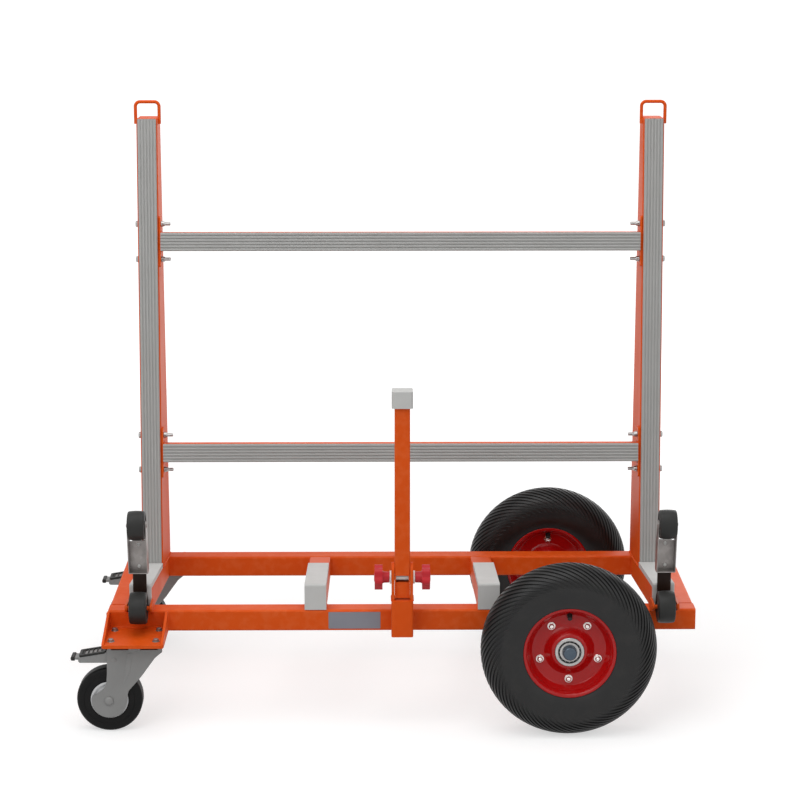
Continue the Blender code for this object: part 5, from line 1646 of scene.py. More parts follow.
@dataclass
class PneumaticWheel(RowAssembly):
    """A wheel with its ribbed tyre, dished rim, bolts, valve, hub and bearing."""

    x: float = 0.3765
    track: float = 0.68
    radius: float = 0.2
    half_width: float = 0.05
    centre_radius: float = 0.152
    bead_radius: float = 0.1077
    bead_half: float = 0.04
    rib_count: int = 66
    rib_sweep: float = math.radians(40)
    rib_height: float = 0.0026
    rib_curve: float = 1.25
    rib_fade: float = 3.2
    lip: float = 0.105
    lip_half: float = 0.0394
    metal: float = 0.0032
    seat: float = 0.0935
    seat_half: float = 0.02
    web: float = 0.009
    well: float = 0.0845
    cone: float = 0.056
    cone_top: float = 0.04
    cone_half: float = 0.027
    hub: float = 0.0333
    hub_half: float = 0.03
    axle: float = 0.0117
    bolt_circle: float = 0.069
    bolts: int = 5
    bolt_head: Point2 = (0.0082, 0.0046)
    balls: int = 16
    ball_radius: float = 0.0011
    valve_lean: float = math.radians(118)
    facets: int = 96

    @property
    def centre(self) -> Point3:
        """Where the wheel turns."""
        return (self.x, self.side * self.track / 2, self.radius)

    def section(self, half_width: float, rise: float, bead_half: float, steps: int) -> list[Point2]:
        """Outline half a tyre's section, from its crown to its bead.

        Args:
            half_width: Half of the section's width.
            rise: The crown's height over the widest place.
            bead_half: Where the section ends along the axle.
            steps: The steps of the arc.

        Returns:
            (radius, height) pairs.
        """
        end = math.pi - math.asin(bead_half / half_width)
        drop = (self.centre_radius - self.bead_radius) / -math.cos(end)
        points = []
        for step in range(steps + 1):
            angle = end * step / steps
            reach = rise if math.cos(angle) > 0 else drop
            points.append(
                (self.centre_radius + reach * math.cos(angle), half_width * math.sin(angle))
            )
        return points

    def build(self) -> None:
        """Build every piece of the wheel."""
        body = self.row + "_wheel"
        self.fit_all([
            ("_tyre_ribbed", self.tyre(), TYRE_RUBBER, body, "_tyre"),
            ("_rim_dished", [self.rim()], RIM_PAINT, body, "_rim"),
            ("_rim_bolts", self.rim_bolts(), CHROME_NUT, body, ""),
            ("_hub_bearing", self.bearing(), BRIGHT_ZINC, body, "_hub"),
            ("_bearing_seals", self.seals(), ROLLER_RUBBER, body, ""),
            ("_tyre_valve", [self.valve()], ROLLER_RUBBER, body, ""),
        ])

    def tyre(self) -> list[Mesh]:
        """Build the tyre's casing and the slanting ribs of its tread."""
        rise = self.radius - self.centre_radius - self.rib_height
        outer = self.section(self.half_width, rise, self.bead_half, 26)
        inside, ledge = self.lip_half - self.metal, self.seat + 0.0045
        bead = [
            (self.lip + 0.0006, self.bead_half - 0.001), (self.lip + 0.0004, inside - 0.0004),
            (ledge, inside - self.metal - 0.0004), (ledge, 0.026),
        ]
        inner = self.section(self.half_width - 0.008, rise - 0.006, 0.026, 12)
        profile = mirrored(outer + bead + list(reversed(inner)))
        casing = turned("tyre_casing", profile, Axis.Y, self.centre, self.facets, closed=True)
        return [casing, ringed("tyre_ribs", self.rib(), TYRE_RUBBER, self.rib_count, self.centre)]

    def rib(self) -> Mesh:
        """Build one tread rib, which slants across the tread and thins out on both shoulders."""
        rise = self.radius - self.centre_radius - self.rib_height
        line = self.section(self.half_width, rise, self.bead_half, 40)
        reach = next(i for i, point in enumerate(line) if point[0] < self.centre_radius - 0.002)
        across = [(r, -h) for r, h in reversed(line[1:reach + 1])] + line[:reach + 1]
        last = len(across) - 1
        pitch = FULL_TURN / self.rib_count
        shape = bmesh.new()
        rows = []
        for index, (r, h) in enumerate(across):
            share = 2 * index / last - 1
            middle = -self.rib_sweep * math.copysign(abs(share) ** self.rib_curve, share)
            fade = min(1.0, self.rib_fade * (1 - abs(share)))
            lift = self.rib_height * fade
            out = Vector((r - self.centre_radius, h)).normalized()
            row = []
            for turn, up in ((-0.36, -0.0006), (-0.22, lift), (0.22, lift), (0.36, -0.0006)):
                angle, radius = middle + turn * pitch, r + out.x * up
                spot = (radius * math.sin(angle), h + out.y * up, radius * math.cos(angle))
                row.append(shape.verts.new(spot))
            rows.append(row)
        for first, second in zip(rows, rows[1:]):
            for corner in range(4):
                following = (corner + 1) % 4
                shape.faces.new(
                    (first[corner], second[corner], second[following], first[following])
                )
        shape.faces.new(rows[0])
        shape.faces.new(list(reversed(rows[-1])))
        bmesh.ops.recalc_face_normals(shape, faces=shape.faces)
        return smoothed(mesh_of("tyre_rib", shape))

    def rim(self) -> Mesh:
        """Build the dished rim with its rolled lips and the cones round the hub."""
        lip, seat, well, web, ledge = self.lip, self.seat, self.well, self.web, self.seat_half
        inside, bore = self.lip_half - self.metal, self.hub + self.lay.gap
        wall = self.metal + 0.0008
        half = [
            (well + wall, 0), (well + wall, 0.01), (seat + wall, ledge),
            (seat + wall, inside - self.metal),
            (seat + wall + 0.001, inside - 0.0012), (lip - 0.0016, inside),
        ]
        half += arc((lip - 0.0016, inside + 0.0016), 0.0016, -90, 90, 6)
        half += shifted([(-0.0042, -0.0002), (-0.0066, -0.0016)], lip, self.lip_half)
        half += shifted([(0.0016, -0.003), (0, -0.007)], seat, inside)
        half += shifted([(0, 0.002), (-0.001, 0)], seat, ledge)
        half += shifted([(0.0012, 0.0035), (-0.0006, 0.001), (-0.003, 0)], well, web)
        cone = [(0.003, 0), (0.0008, 0.001), (-0.0048, 0.0046), (-0.01, 0.0108)]
        half += shifted(cone, self.cone, web)
        top = [(0.0016, -0.0024), (-0.0004, -0.0003), (-0.003, 0.001)]
        half += shifted(top, self.cone_top, self.cone_half)
        half += [(bore + 0.0004, self.cone_half + 0.0012), (bore, self.cone_half), (bore, 0)]
        return turned("rim", mirrored(half), Axis.Y, self.centre, self.facets, closed=True)

    def rim_bolts(self) -> list[Mesh]:
        """Build the ring of bolts that hold the rim's halves, with nuts on both faces."""
        meshes = []
        dome = [
            (0, 0.002), (0.0062, 0.002), (0.0062, 0.006), (0.0054, 0.0082), (0.0034, 0.0098),
            (0, 0.0104),
        ]
        washer = [(0, 0), (0.009, 0), (0.0094, 0.0004), (0.0088, 0.001), (0, 0.001)]
        for side in BOTH:
            head = hexagon_head("rim_bolt", *self.bolt_head)
            forms = [head, turned("dome", dome, steps=24), turned("washer", washer, steps=28)]
            item = moved(joined("rim_bolt", forms), Matrix.Rotation(-side * math.pi / 2, 4, "X"))
            moved(item, (0, side * (self.web - 0.0001), self.side * self.bolt_circle))
            meshes.append(ringed("rim_bolts", item, CHROME_NUT, self.bolts, self.centre))
        return meshes

    def bearing(self) -> list[Mesh]:
        """Build the hub's shell and the bearing rings at both of its ends."""
        end, hub, bore = self.hub_half, self.hub, self.axle + self.lay.gap
        face = [
            (hub, -0.001), (hub - 0.001, 0), (0.0266, 0), (0.0258, -0.0008), (0.0258, -0.0028),
            (0.022, -0.0028), (0.022, -0.0004), (0.0214, 0), (0.0172, 0), (0.0168, -0.0006),
            (bore, -0.0006),
        ]
        profile = mirrored([(hub, 0), *shifted(face, 0, end), (bore, 0)])
        meshes = [turned("hub", profile, Axis.Y, self.centre, 64, closed=True)]
        for side in BOTH:
            ball = small_ball("bearing_ball", self.ball_radius, 10)
            moved(ball, (0, side * (end - 0.0022), 0.0239))
            meshes.append(ringed("bearing_balls", ball, BRIGHT_ZINC, self.balls, self.centre))
        return meshes

    def seals(self) -> list[Mesh]:
        """Build the dark seals between the bearings' rings."""
        ring = [
            (0.0222, -0.0024), (0.023, -0.0016), (0.0236, -0.0022), (0.0256, -0.0022),
            (0.0256, -0.0034), (0.0222, -0.0034),
        ]
        ring = shifted(ring, 0, self.hub_half)
        rings = ([(r, h * side) for r, h in ring] for side in BOTH)
        return [turned("seal", ring, Axis.Y, self.centre, 48, closed=True) for ring in rings]

    def valve(self) -> Mesh:
        """Build the tyre's valve, which leans out of the dish above the hub."""
        stem = [
            (0, -0.004), (0.0062, -0.004), (0.0062, 0.002), (0.0054, 0.004), (0.0054, 0.01),
            (0.0048, 0.0112), (0.002, 0.0116), (0, 0.0116),
        ]
        lean = Matrix.Rotation(self.valve_lean, 4, "X")
        root = Matrix.Translation((0, -self.web - 0.004, self.well - 0.0035))
        return moved(moved(turned("valve", stem, steps=28), root @ lean), self.centre)


@dataclass
class WheelAxle(SubAssembly):
    """The straight axle under the rails, with its collars, washers and nuts."""

    nut: float = 0.0155
    nut_length: float = 0.0145
    collar: float = 0.012
    bead: float = 0.0028

    def build(self) -> None:
        """Build the axle."""
        wheel, lay, nut = PneumaticWheel, self.lay, self.nut
        inner = wheel.track / 2 - wheel.hub_half - lay.gap
        outer = wheel.track / 2 + wheel.hub_half + lay.gap
        far, back = outer + self.nut_length, inner - self.collar
        half = [
            (nut - 0.003, far), (nut - 0.0012, far - 0.001), (nut, far - 0.003),
            (nut, outer + 0.0014),
            (nut + 0.0008, outer + 0.0012), (nut + 0.0008, outer), (wheel.axle, outer),
            (wheel.axle, inner),
            (nut - 0.0006, inner), (nut, inner - 0.0006), (nut, back + 0.0006),
            (nut - 0.0006, back),
            (wheel.axle, back),
        ]
        half = [(0, far - 0.0012), (nut - 0.005, far - 0.0012)] + half
        profile = half + [(r, -h) for r, h in reversed(half)]
        axle = turned("axle", profile, Axis.Y, (wheel.x, 0, wheel.radius), 56)
        paths, z = [], lay.rail_bottom - 0.0012
        for side in BOTH:
            for edge in BOTH:
                x, y = wheel.x + edge * 0.0052, side * lay.rail_y
                paths.append([(x, y - 0.018, z), (x, y + 0.018, z)])
        self.shop.fit("axle_steel", axle, BEARING_STEEL, replaces=["axle"])
        self.shop.weld("axle", paths, self.bead)


@dataclass
class BrakedCaster(RowAssembly):
    """A swivel caster: its bolted plate, race, fork, wheel and brake pedal."""

    x: float = WeldedFrame.bracket_x
    half_track: float = 0.305
    trail: float = 0.06
    bracket: float = WeldedFrame.bracket_plate
    plate_length: float = 0.136
    plate_width: float = 0.108
    plate: float = 0.004
    bolt_x: float = 0.1015
    bolt_y: float = 0.08
    race_radius: float = 0.034
    race: float = 0.008
    kingpin: float = 0.008
    metal: float = 0.004
    fork_inside: float = 0.048
    crown_half: float = 0.063
    radius: float = 0.075
    width: float = 0.042
    core: float = 0.043
    disc: float = 0.04
    pivot_drop: float = 0.028
    pivot_back: float = 0.046
    pedal_reach: float = 0.147
    pedal_width: float = 0.044
    pedal_boss: float = 0.008
    pedal_wall: float = 0.003
    tyre_corner: float = 0.009
    core_bore: float = 0.0062
    core_boss: float = 0.015
    core_recess: float = 0.86
    spokes: int = 6

    @property
    def hub(self) -> Point3:
        """Where the caster's wheel turns, seen from its swivel."""
        return (-self.trail, 0, self.radius)

    @property
    def fork_half(self) -> float:
        """Half of the fork's whole width."""
        return self.fork_inside / 2 + self.metal

    @property
    def swivel(self) -> Vector:
        """Where the swivel axis meets the floor."""
        return Vector((self.x, self.side * self.half_track, 0))

    @property
    def plate_top(self) -> float:
        """Upper face of the bolted plate."""
        return self.lay.shelf_low - self.lay.gap

    @property
    def crown(self) -> float:
        """Upper face of the fork's crown."""
        return self.plate_top - self.plate - self.race - self.lay.gap

    def build(self) -> None:
        """Build every piece of the caster."""
        fork, wheel, pedal = (self.row + end for end in ("_caster", "_caster_wheel", "_pedal"))
        parts = (
            ("_caster_plate_zinc", self.top_plate(), TRAY_ZINC, "frame", "_caster_plate"),
            ("_caster_race_seal", self.race_seal(), ROLLER_RUBBER, "frame", ""),
            ("_caster_fork_pressed", self.fork(), PRESSED_STEEL, fork, "_caster_fork"),
            ("_caster_axle_rivet", self.axle_rivet(), PRESSED_STEEL, fork, ""),
            ("_caster_tyre_tread", self.tyre(), CASTER_RUBBER, wheel, "_caster_tyre"),
            ("_caster_core_moulded", self.wheel_core(), CORE_PLASTIC, wheel, "_caster_core"),
            ("_brake_pedal_pressed", self.pedal(), PRESSED_STEEL, pedal, "_brake_pedal"),
            ("_brake_pedal_tread", self.pedal_tread(), ROLLER_RUBBER, pedal, ""),
        )
        for _, meshes, *_ in parts:
            for mesh in meshes:
                moved(mesh, self.swivel)
        self.fit_all(parts)

    def top_plate(self) -> list[Mesh]:
        """Build the bolted plate with its race, its four bolts and the kingpin's nut."""
        top, low, foot = self.plate_top, self.plate_top - self.plate, self.crown - self.metal
        outline = rounded_box(self.plate_length, self.plate_width, 0.008, 8)
        meshes = [prism("caster_plate", [outline], Axis.Z, (low, top), 0.0008, 2)]
        rim, end = self.race_radius, low - self.race
        race = [
            (0, low + 0.001), (rim - 0.002, low + 0.001), (rim, low - 0.0008), (rim, low - 0.003),
            (rim - 0.0014, low - 0.0036), (rim - 0.0014, low - 0.0048), (rim, low - 0.0054),
            (rim, end + 0.0006), (rim - 0.0008, end), (self.kingpin, end),
            (self.kingpin, foot - 0.001),
            (0, foot - 0.001),
        ]
        meshes.append(turned("caster_race", race, steps=56))
        under = Matrix.Translation((0, 0, foot - self.lay.gap)) @ Matrix.Rotation(math.pi, 4, "X")
        meshes.append(moved(hexagon_head("kingpin_nut", 0.014, 0.0058), under))
        shelf = self.lay.shelf_low + self.bracket + self.lay.gap
        rings = [(0, 0), (0.0082, 0), (0.0084, 0.0004), (0.008, 0.0012), (0, 0.0012)]
        shank = [(0, -0.0165), (0.004, -0.0165), (0.004, 0.001), (0, 0.001)]
        for along in BOTH:
            for across in BOTH:
                bolt = [
                    moved(hexagon_head("plate_bolt", 0.0066, 0.0048), (0, 0, 0.001)),
                    turned("plate_washer", rings, steps=28),
                    turned("plate_shank", shank, steps=16),
                ]
                spot = (along * self.bolt_x / 2, across * self.bolt_y / 2, shelf)
                meshes += [moved(mesh, spot) for mesh in bolt]
        return meshes

    def race_seal(self) -> list[Mesh]:
        """Build the dark seal in the race's groove."""
        ring = [(-0.0006, -0.0037), (-0.0006, -0.0047), (-0.003, -0.0047), (-0.003, -0.0037)]
        ring = shifted(ring, self.race_radius, self.plate_top - self.plate)
        return [turned("race_seal", ring, steps=56, closed=True)]

    def fork(self) -> list[Mesh]:
        """Build the fork: its crown, its two sides with their pressed discs, and the front web."""
        half, top, metal, pin = self.crown_half, self.crown, self.metal, self.kingpin
        crown = rounded_box(2 * half, self.fork_inside + 2 * metal, 0.01)
        hole = arc((0, 0), pin + self.lay.gap, 0, 345, 23)
        meshes = [prism("crown", [crown, hole], Axis.Z, (top - metal, top), 0.0011, 2)]
        dish = [
            (pin + 0.002, top - 0.0002), (0.03, top - 0.0002), (0.031, top - 0.001),
            (0.031, top - metal - 0.0022), (0.028, top - metal - 0.0034),
            (pin + 0.008, top - metal - 0.0034),
            (pin + 0.008, top - metal), (pin + 0.002, top - metal),
        ]
        meshes.append(turned("crown_dish", dish, steps=48, closed=True))
        height = top - self.radius
        outline = [(-half + 0.006, top), (half - 0.004, top), (half, top - 0.004)]
        slant = ((1, 0.07), (0.74, 0.18), (0.24, 0.53), (-0.24, 0.81))
        outline += [(half * along, top - height * down) for along, down in slant]
        outline += arc((-self.trail, self.radius), self.disc, 5, -193, 36)
        neck = [
            (-0.038, 0.011), (-0.03, 0.0155), (-0.023, 0.0195), (-0.017, 0.024),
            (-0.0115, 0.0295), (-0.0075, 0.0365), (-0.005, 0.046),
        ]
        outline += shifted(neck, -self.trail, self.radius)
        outline += [
            (-half - 0.0004, top - height * 0.46), (-half, top - height * 0.3),
            (-half, top - 0.006),
        ]
        flute = [
            (-0.016, top - 0.012), (-0.004, top - 0.012), (-0.012, self.radius + 0.066),
            (-0.026, self.radius + 0.04),
        ]
        for across in BOTH:
            inner, outer = across * self.fork_inside / 2, across * self.fork_half
            lift = outer + across * 0.0007
            meshes.append(prism("fork_side", [outline], Axis.Y, (inner, outer), 0.0013, 3))
            meshes.append(prism("fork_flute", [flute], Axis.Y, (inner, lift), 0.0006, 2))
        return meshes

    def axle_rivet(self) -> list[Mesh]:
        """Build the axle of the caster's wheel, with a low round head on both sides."""
        head = [
            (0.0059, -0.001), (0.0106, -0.001), (0.0106, 0.0014), (0.0092, 0.0038),
            (0.0062, 0.0054),
            (0, 0.006),
        ]
        head = shifted(head, 0, self.fork_half)
        profile = [(r, -h) for r, h in reversed(head)] + head
        return [turned("axle_rivet", profile, Axis.Y, self.hub, 40)]

    def tyre(self) -> list[Mesh]:
        """Build the caster's solid tyre, with round shoulders and fine mould lines."""
        half, corner, r = self.width / 2, self.tyre_corner, self.radius
        bore = self.core + self.lay.gap
        outer = [(r, 0), *arc((r - corner, half - corner), corner, 0, 90, 8)]
        outer += shifted(
            [(-0.0165, 0), (-0.017, -0.0005), (-0.0178, -0.0005), (-0.0183, 0)], r, half
        )
        profile = mirrored([*outer, (bore, half), (bore, 0)])
        return [turned("caster_tyre", profile, Axis.Y, self.hub, 72, closed=True)]

    def wheel_core(self) -> list[Mesh]:
        """Build the caster's moulded core, with its recess, its spokes and its boss."""
        half, bore, boss, core = self.width / 2, self.core_bore, self.core_boss, self.core
        recess, end = half * self.core_recess, self.fork_inside / 2 - self.lay.gap
        outer = [
            (core, 0), (core, half - 0.0008), (core - 0.0008, half), (core - 0.0046, half),
            (core - 0.0054, half - 0.0008), (core - 0.0078, recess + 0.0012),
            (core - 0.0092, recess),
            (boss + 0.003, recess), (boss + 0.0016, recess + 0.0014), (boss, end - 0.0008),
            (boss - 0.0008, end), (bore + 0.0006, end), (bore, end - 0.0006), (bore, 0),
        ]
        meshes = [turned("caster_core", mirrored(outer), Axis.Y, self.hub, 64, closed=True)]
        for across in BOTH:
            low, high = sorted((across * (recess - 0.002), across * (half - 0.003)))
            corners = (-0.0016, low, boss - 0.001), (0.0016, high, core - 0.0055)
            spoke = block("core_spoke", *corners, 0.0008, 2)
            meshes.append(ringed("core_spokes", spoke, CORE_PLASTIC, self.spokes, self.hub))
        return meshes

    def pedal_frame(self) -> Matrix:
        """Return the matrix from the pedal's pivot to the swivel's own place."""
        return Matrix.Translation((-self.pivot_back, 0, self.crown - self.pivot_drop))

    def pedal_outline(self, *shares: Point2) -> list[Point2]:
        """Draw points of the pedal's side, in shares of its length and of its boss."""
        tip = self.pedal_reach - self.pivot_back
        return [(-tip * along, self.pedal_boss * up) for along, up in shares]

    def pedal(self) -> list[Mesh]:
        """Build the brake pedal: two pressed sides, the web over them, its tongue and its pin."""
        half, edge, draw = self.pedal_width / 2, self.fork_half, self.pedal_outline
        side = arc((0, 0), self.pedal_boss, 80, -90, 12)
        side += draw((0.78, -1), (0.815, -0.7), (0.82, 0), (0.81, 0.7), (0.79, 0.8), (0.7, 1.05))
        side += draw((0.22, 2.05), (0.1, 1.6))
        web = draw((0.12, 1.6), (0.22, 1.98), (0.7, 0.98), (0.8, 0.72))
        web += draw((0.8, 0.4), (0.7, 0.66), (0.22, 1.66), (0.12, 1.28))
        tongue = draw((0.81, -0.36), (0.99, -0.26), (1, 0.1), (0.99, 0.4), (0.81, 0.36))
        rivet = [(0, -0.001), (0.0052, -0.001), (0.0052, 0.0006), (0.0038, 0.0018), (0, 0.0022)]
        meshes = []
        for across in BOTH:
            span = (across * half, across * (half - self.pedal_wall))
            meshes.append(prism("pedal_side", [side], Axis.Y, span, 0.0011, 2))
            cap = [(r, across * (edge + h)) for r, h in rivet]
            meshes.append(turned("pedal_rivet", cap, Axis.Y, steps=28))
        inside, narrow = (-half + 0.001, half - 0.001), (-half * 0.72, half * 0.72)
        pin = [(0, -edge), (0.0049, -edge), (0.0049, edge), (0, edge)]
        meshes += [
            prism("pedal_web", [web], Axis.Y, inside, 0.0008, 2),
            prism("pedal_tongue", [tongue], Axis.Y, narrow, 0.0012, 2),
            turned("pedal_pin", pin, Axis.Y, steps=24),
        ]
        return [moved(mesh, self.pedal_frame()) for mesh in meshes]

    def pedal_tread(self) -> list[Mesh]:
        """Build the pedal's black tread, which frames its grey plate, and its rubber tip."""
        half = self.pedal_width / 2
        (start_x, start_z), (end_x, end_z) = self.pedal_outline((0.2, 2.12), (0.8, 0.88))
        start, end = Vector((start_x, 0, start_z)), Vector((end_x, 0, end_z))
        fall = math.atan2(start.z - end.z, start.x - end.x)
        lie = Matrix.Translation(start) @ Matrix.Rotation(-fall, 4, "Y")
        length = (start - end).length
        rim = shifted(rounded_box(length, 2 * half + 0.0012, 0.004), -length / 2, 0)
        window = shifted(rounded_box(length - 0.014, 2 * half - 0.012, 0.003), -length / 2, 0)
        frame = prism("pedal_pad", [rim, window], Axis.Z, (-0.0024, 0.0026), 0.0011, 3)
        low, high = (-0.0012, -half + 0.005, 0), (0.0012, half - 0.005, 0.0022)
        rib, step = block("pedal_rib", low, high, 0.0006, 2), (-length / 6, 0, 0)
        ribs = ROW.run("pedal_ribs", rib, ROLLER_RUBBER, 5, step, step)
        meshes = [moved(mesh, lie) for mesh in (frame, ribs)]
        bow = self.pedal_outline((0.9, -0.62), (0.985, -0.55), (1, 0), (0.985, 0.64), (0.9, 0.66))
        meshes.append(prism("pedal_tip", [bow], Axis.Y, (-half * 0.8, half * 0.8), 0.0018, 3))
        return [moved(mesh, self.pedal_frame()) for mesh in meshes]


@dataclass
class RollerUnit(SubAssembly):
    """The guide rollers at an end of the front rail, on their stalk and pressed tray."""

    side: int
    width: float = 0.039
    upper_radius: float = 0.0335
    lower_radius: float = 0.037
    pin_radius: float = 0.005
    upper_z: float = 0.4766
    stalk_width: float = 0.031
    stalk: float = 0.007
    stalk_low: float = 0.252
    stalk_top: float = 0.43
    tray_width: float = 0.044
    tray: float = 0.002
    tray_low: float = 0.36
    tray_depth: float = 0.028
    rivet_start: float = 0.16
    rivet_step: float = 0.73
    crown: float = 0.0011
    tread_share: float = 0.8
    shoulder: float = 0.0038
    lower_y = -0.2906
    lower_z = 0.282

    @property
    def x(self) -> float:
        """Middle of the unit along X."""
        return self.side * self.lay.upright_x

    @property
    def upper_y(self) -> float:
        """Place of the upper roller's axis along Y."""
        return self.lower_y + self.lower_radius - self.upper_radius - self.tray - 0.001

    def build(self) -> None:
        """Build every piece of the unit."""
        end, half = end_name(self.side), self.stalk_width / 2
        back = -self.lay.half_width - self.lay.gap
        front = back - self.stalk
        low, high = (self.x - half, front, self.stalk_low), (self.x + half, back, self.stalk_top)
        name = end + "_roller_stalk"
        stalk = block("stalk", low, high, 0.0012, 3)
        # The stalk's dark paint carries a brown cast, which is painted reflection of the orange
        # frame.
        self.shop.fit(name + "_painted", stalk, STALK_PAINT_AND_REFLECTION, replaces=[name])
        name = end + "_roller_bracket"
        tray = self.bracket(front - self.lay.gap)
        self.shop.fit(name + "_pressed", tray, TRAY_ZINC, replaces=[name])
        for level, radius, y, z in (
            ("upper", self.upper_radius, self.upper_y, self.upper_z),
            ("lower", self.lower_radius, self.lower_y, self.lower_z),
        ):
            roller, name = self.roller(radius, (self.x, y, z)), f"{end}_{level}"
            nodes = [name + "_roller"]
            self.shop.fit(name + "_roller_rubber", roller, ROLLER_RUBBER, name + "_guide", nodes)

    def bracket(self, back: float) -> list[Mesh]:
        """Build the pressed tray with its cheeks, lip and roller pin, and fit its rivets.

        Args:
            back: Place of its back face along Y.

        Returns:
            The tray's meshes.
        """
        x, half, wall, low = self.x, self.tray_width / 2, self.tray, self.tray_low
        height, pin_y, pin_z = self.stalk_top - low, self.upper_y, self.upper_z
        web = rounded_box(self.tray_width, height, 0.0015, 3)
        web = shifted(web, x, (self.stalk_top + low) / 2)
        lip = shifted(
            rounded_box(self.tray_width, self.tray_depth, 0.003), x, back - self.tray_depth / 2
        )
        meshes = [
            prism("tray_web", [web], Axis.Y, (back - wall, back), 0.0006, 2),
            prism("tray_lip", [lip], Axis.Z, (low, low + wall), 0.0007, 2),
        ]
        cheek = arc((pin_y, pin_z), 2 * self.pin_radius, 180, 0, 16)
        cheek += [(back - wall / 4, self.stalk_top - wall), (back - wall / 4, low + wall / 4)]
        cheek += arc((back - self.tray_depth + 0.0035, low + 0.004), 0.0033, 270, 180, 4)
        end_cap = [(0, 0.0016), (0.0036, 0.0016), (0.005, 0.0006), (0.005, -0.003), (0, -0.003)]
        for across in BOTH:
            outer, face = x + across * (half - wall / 8), (x + across * half, pin_y, pin_z)
            span = (outer, outer - across * wall)
            meshes.append(prism("tray_cheek", [cheek], Axis.X, span, 0.0007, 2))
            cap = [(r, across * h) for r, h in end_cap]
            meshes.append(turned("tray_pin_end", cap, Axis.X, face, 24))
        pin = [(0, -half), (0.0049, -half), (0.0049, half), (0, half)]
        meshes.append(turned("tray_pin", pin, Axis.X, (x, pin_y, pin_z), 24))
        dome = [
            (0, -0.001), (0.0042, -0.001), (0.0042, 0.0004), (0.0034, 0.0016), (0.0018, 0.0022),
            (0, 0.0024),
        ]
        rivet = moved(turned("tray_rivet", dome, steps=24), Matrix.Rotation(math.pi / 2, 4, "X"))
        start = (x, back - wall, low + self.rivet_start * height)
        step = (0, 0, self.rivet_step * height)
        # The rivets are drawn near white, which is a painted highlight.
        rivets = ROW.run("tray_rivets", rivet, HIGHLIGHT_PAINTED_ZINC, 2, step, start)
        self.shop.fit(end_name(self.side) + "_tray_rivets", rivets, HIGHLIGHT_PAINTED_ZINC)
        return meshes

    def roller(self, radius: float, centre: Point3) -> list[Mesh]:
        """Build a crowned rubber roller with dished ends.

        Args:
            radius: Its largest radius.
            centre: Its middle.

        Returns:
            The roller's mesh.
        """
        half, bore = self.width / 2, self.pin_radius + self.lay.gap
        shares = (0, 0.25, 0.5, 0.75, 1.0)
        tread, round_off = half * self.tread_share, self.shoulder
        face = [(radius - self.crown * share * share, tread * share) for share in shares]
        face += arc((face[-1][0] - round_off, half - round_off), round_off, 8, 90, 7)
        face += [
            (radius - 0.009, half), (radius - 0.01, half - 0.0012), (0.0125, half - 0.0016),
            (0.0112, half - 0.0002), (0.0104, half), (bore + 0.0005, half), (bore, half - 0.0005),
            (bore, 0),
        ]
        return [turned("guide_roller", mirrored(face), Axis.X, centre, 64, closed=True)]


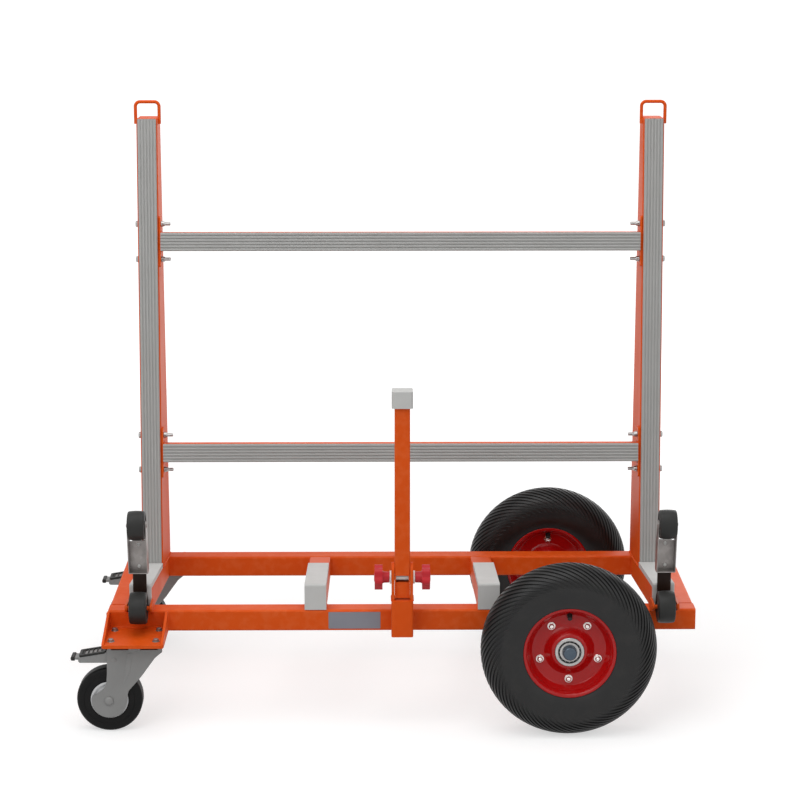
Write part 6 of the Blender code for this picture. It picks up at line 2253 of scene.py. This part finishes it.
@dataclass
class Studio:
    """The camera, the pale floor and the soft light."""

    camera_place: Point3 = (-0.0113, -5.2974, 1.8514)
    pitch: float = 12.234
    yaw: float = 0.52
    lens: float = 103.2
    sensor: float = 36.0
    floor_half: float = 90.0
    floor_white: float = 0.55
    floor_lift: Point2 = (0.56, 0.84)
    floor_fade: Point2 = (1.2, 4.0)
    sky: float = 0.55
    sight: float = 300.0
    aim: Point3 = (0.05, 0.0, 0.55)

    def build(self) -> None:
        """Set up the camera, the floor and the light."""
        scene = bpy.context.scene
        scene.view_settings.view_transform = "Standard"
        self.camera(scene)
        self.floor()
        self.world(scene)
        self.lamp("key_light", (-1.9, -3.2, 3.4), 2.4, 36.0)
        self.lamp("fill_light", (2.6, -2.4, 2.2), 2.6, 10.0)
        self.lamp("top_light", (-0.3, -0.8, 4.0), 3.0, 54.0)
        self.lamp("back_light", (1.8, 3.8, 1.4), 1.8, 20.0)

    def camera(self, scene: bpy.types.Scene) -> None:
        """Add the camera at the photograph's viewing angle."""
        data = bpy.data.cameras.new("photo_camera")
        data.sensor_fit = "HORIZONTAL"
        data.sensor_width = self.sensor
        data.lens = self.lens
        data.clip_end = self.sight
        camera = drawn_object("photo_camera", data)
        camera.location = self.camera_place
        camera.rotation_euler = (math.radians(90 - self.pitch), 0, math.radians(-self.yaw))
        scene.camera = camera

    def floor(self) -> None:
        """Add the floor. The camera sees it near white, and it keeps the object's shadow."""
        mesh = bpy.data.meshes.new("studio_floor")
        half = self.floor_half
        corners = [(-half, -half, 0), (half, -half, 0), (half, half, 0), (-half, half, 0)]
        mesh.from_pydata(corners, [], [(0, 1, 2, 3)])
        material = bpy.data.materials.new("pale_floor")
        material.use_nodes = True
        sheet = NodeSheet(material.node_tree, "ShaderNodeOutputMaterial")
        white = (self.floor_white, self.floor_white, self.floor_white, 1.0)
        plain = sheet.add("ShaderNodeBsdfDiffuse", {"Color": white}).outputs[0]
        place = sheet.add("ShaderNodeTexCoord").outputs["Object"]
        reach = sheet.add("ShaderNodeVectorMath", {0: place}, operation="LENGTH").outputs["Value"]
        lift = sheet.spread(reach, self.floor_fade, self.floor_lift)
        seen = {0: self.seen(sheet), 1: lift}
        strength = sheet.add("ShaderNodeMath", seen, operation="MULTIPLY").outputs[0]
        glow = sheet.add("ShaderNodeEmission", {"Strength": strength}).outputs[0]
        both = sheet.add("ShaderNodeAddShader", {0: plain, 1: glow}).outputs[0]
        sheet.join(both, sheet.output.inputs["Surface"])
        mesh.materials.append(material)
        drawn_object("studio_floor", mesh)

    def seen(self, sheet: NodeSheet) -> Socket:
        """Add a switch that is one for the camera, for reflections and through clear things.

        Args:
            sheet: The tree to add to.

        Returns:
            The switch's socket.
        """
        rays = sheet.add("ShaderNodeLightPath").outputs
        total = rays["Is Camera Ray"]
        for name in ("Is Glossy Ray", "Is Transmission Ray"):
            inputs = {0: total, 1: rays[name]}
            total = sheet.add("ShaderNodeMath", inputs, operation="MAXIMUM").outputs[0]
        return total

    def world(self, scene: bpy.types.Scene) -> None:
        """Fill the world with soft white light, and show it white behind the object."""
        world = bpy.data.worlds.new("studio_world")
        scene.world = world
        world.use_nodes = True
        sheet = NodeSheet(world.node_tree, "ShaderNodeOutputWorld")
        white = {"Color": (1.0, 1.0, 1.0, 1.0)}
        light = sheet.add("ShaderNodeBackground", {**white, "Strength": self.sky}).outputs[0]
        plain = sheet.add("ShaderNodeBackground", white).outputs[0]
        mix = sheet.add("ShaderNodeMixShader", {0: self.seen(sheet), 1: light, 2: plain})
        sheet.join(mix.outputs[0], sheet.output.inputs["Surface"])

    def lamp(self, name: str, place: Point3, size: float, power: float) -> None:
        """Add a large square lamp that faces the object.

        Args:
            name: The lamp's name.
            place: Where it stands.
            size: Its side, in metres.
            power: Its power, in watts.
        """
        data = bpy.data.lights.new(name, "AREA")
        data.shape = "SQUARE"
        data.size = size
        data.energy = power
        lamp = drawn_object(name, data)
        lamp.location = place
        lamp.visible_camera = False
        aim = Vector(self.aim) - Vector(place)
        lamp.rotation_euler = aim.to_track_quat("-Z", "Y").to_euler()


def main() -> None:
    """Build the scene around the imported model."""
    logging.basicConfig(level=logging.INFO, format="%(name)s: %(message)s")
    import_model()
    low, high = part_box("post_socket")
    Studio().build()
    shop = Workshop(shift=(low.x + high.x) / 2)
    lay = Layout()
    WeldedFrame(shop, lay).build()
    LeaningBack(shop, lay).build()
    ClampPost(shop, lay).build()
    for side in BOTH:
        PneumaticWheel(shop, lay, side).build()
        BrakedCaster(shop, lay, side).build()
        RollerUnit(shop, lay, side).build()
    WheelAxle(shop, lay).build()
    LOG.info("%d pieces, %d faces", shop.pieces, shop.faces)


if __name__ == "__main__":
    main()
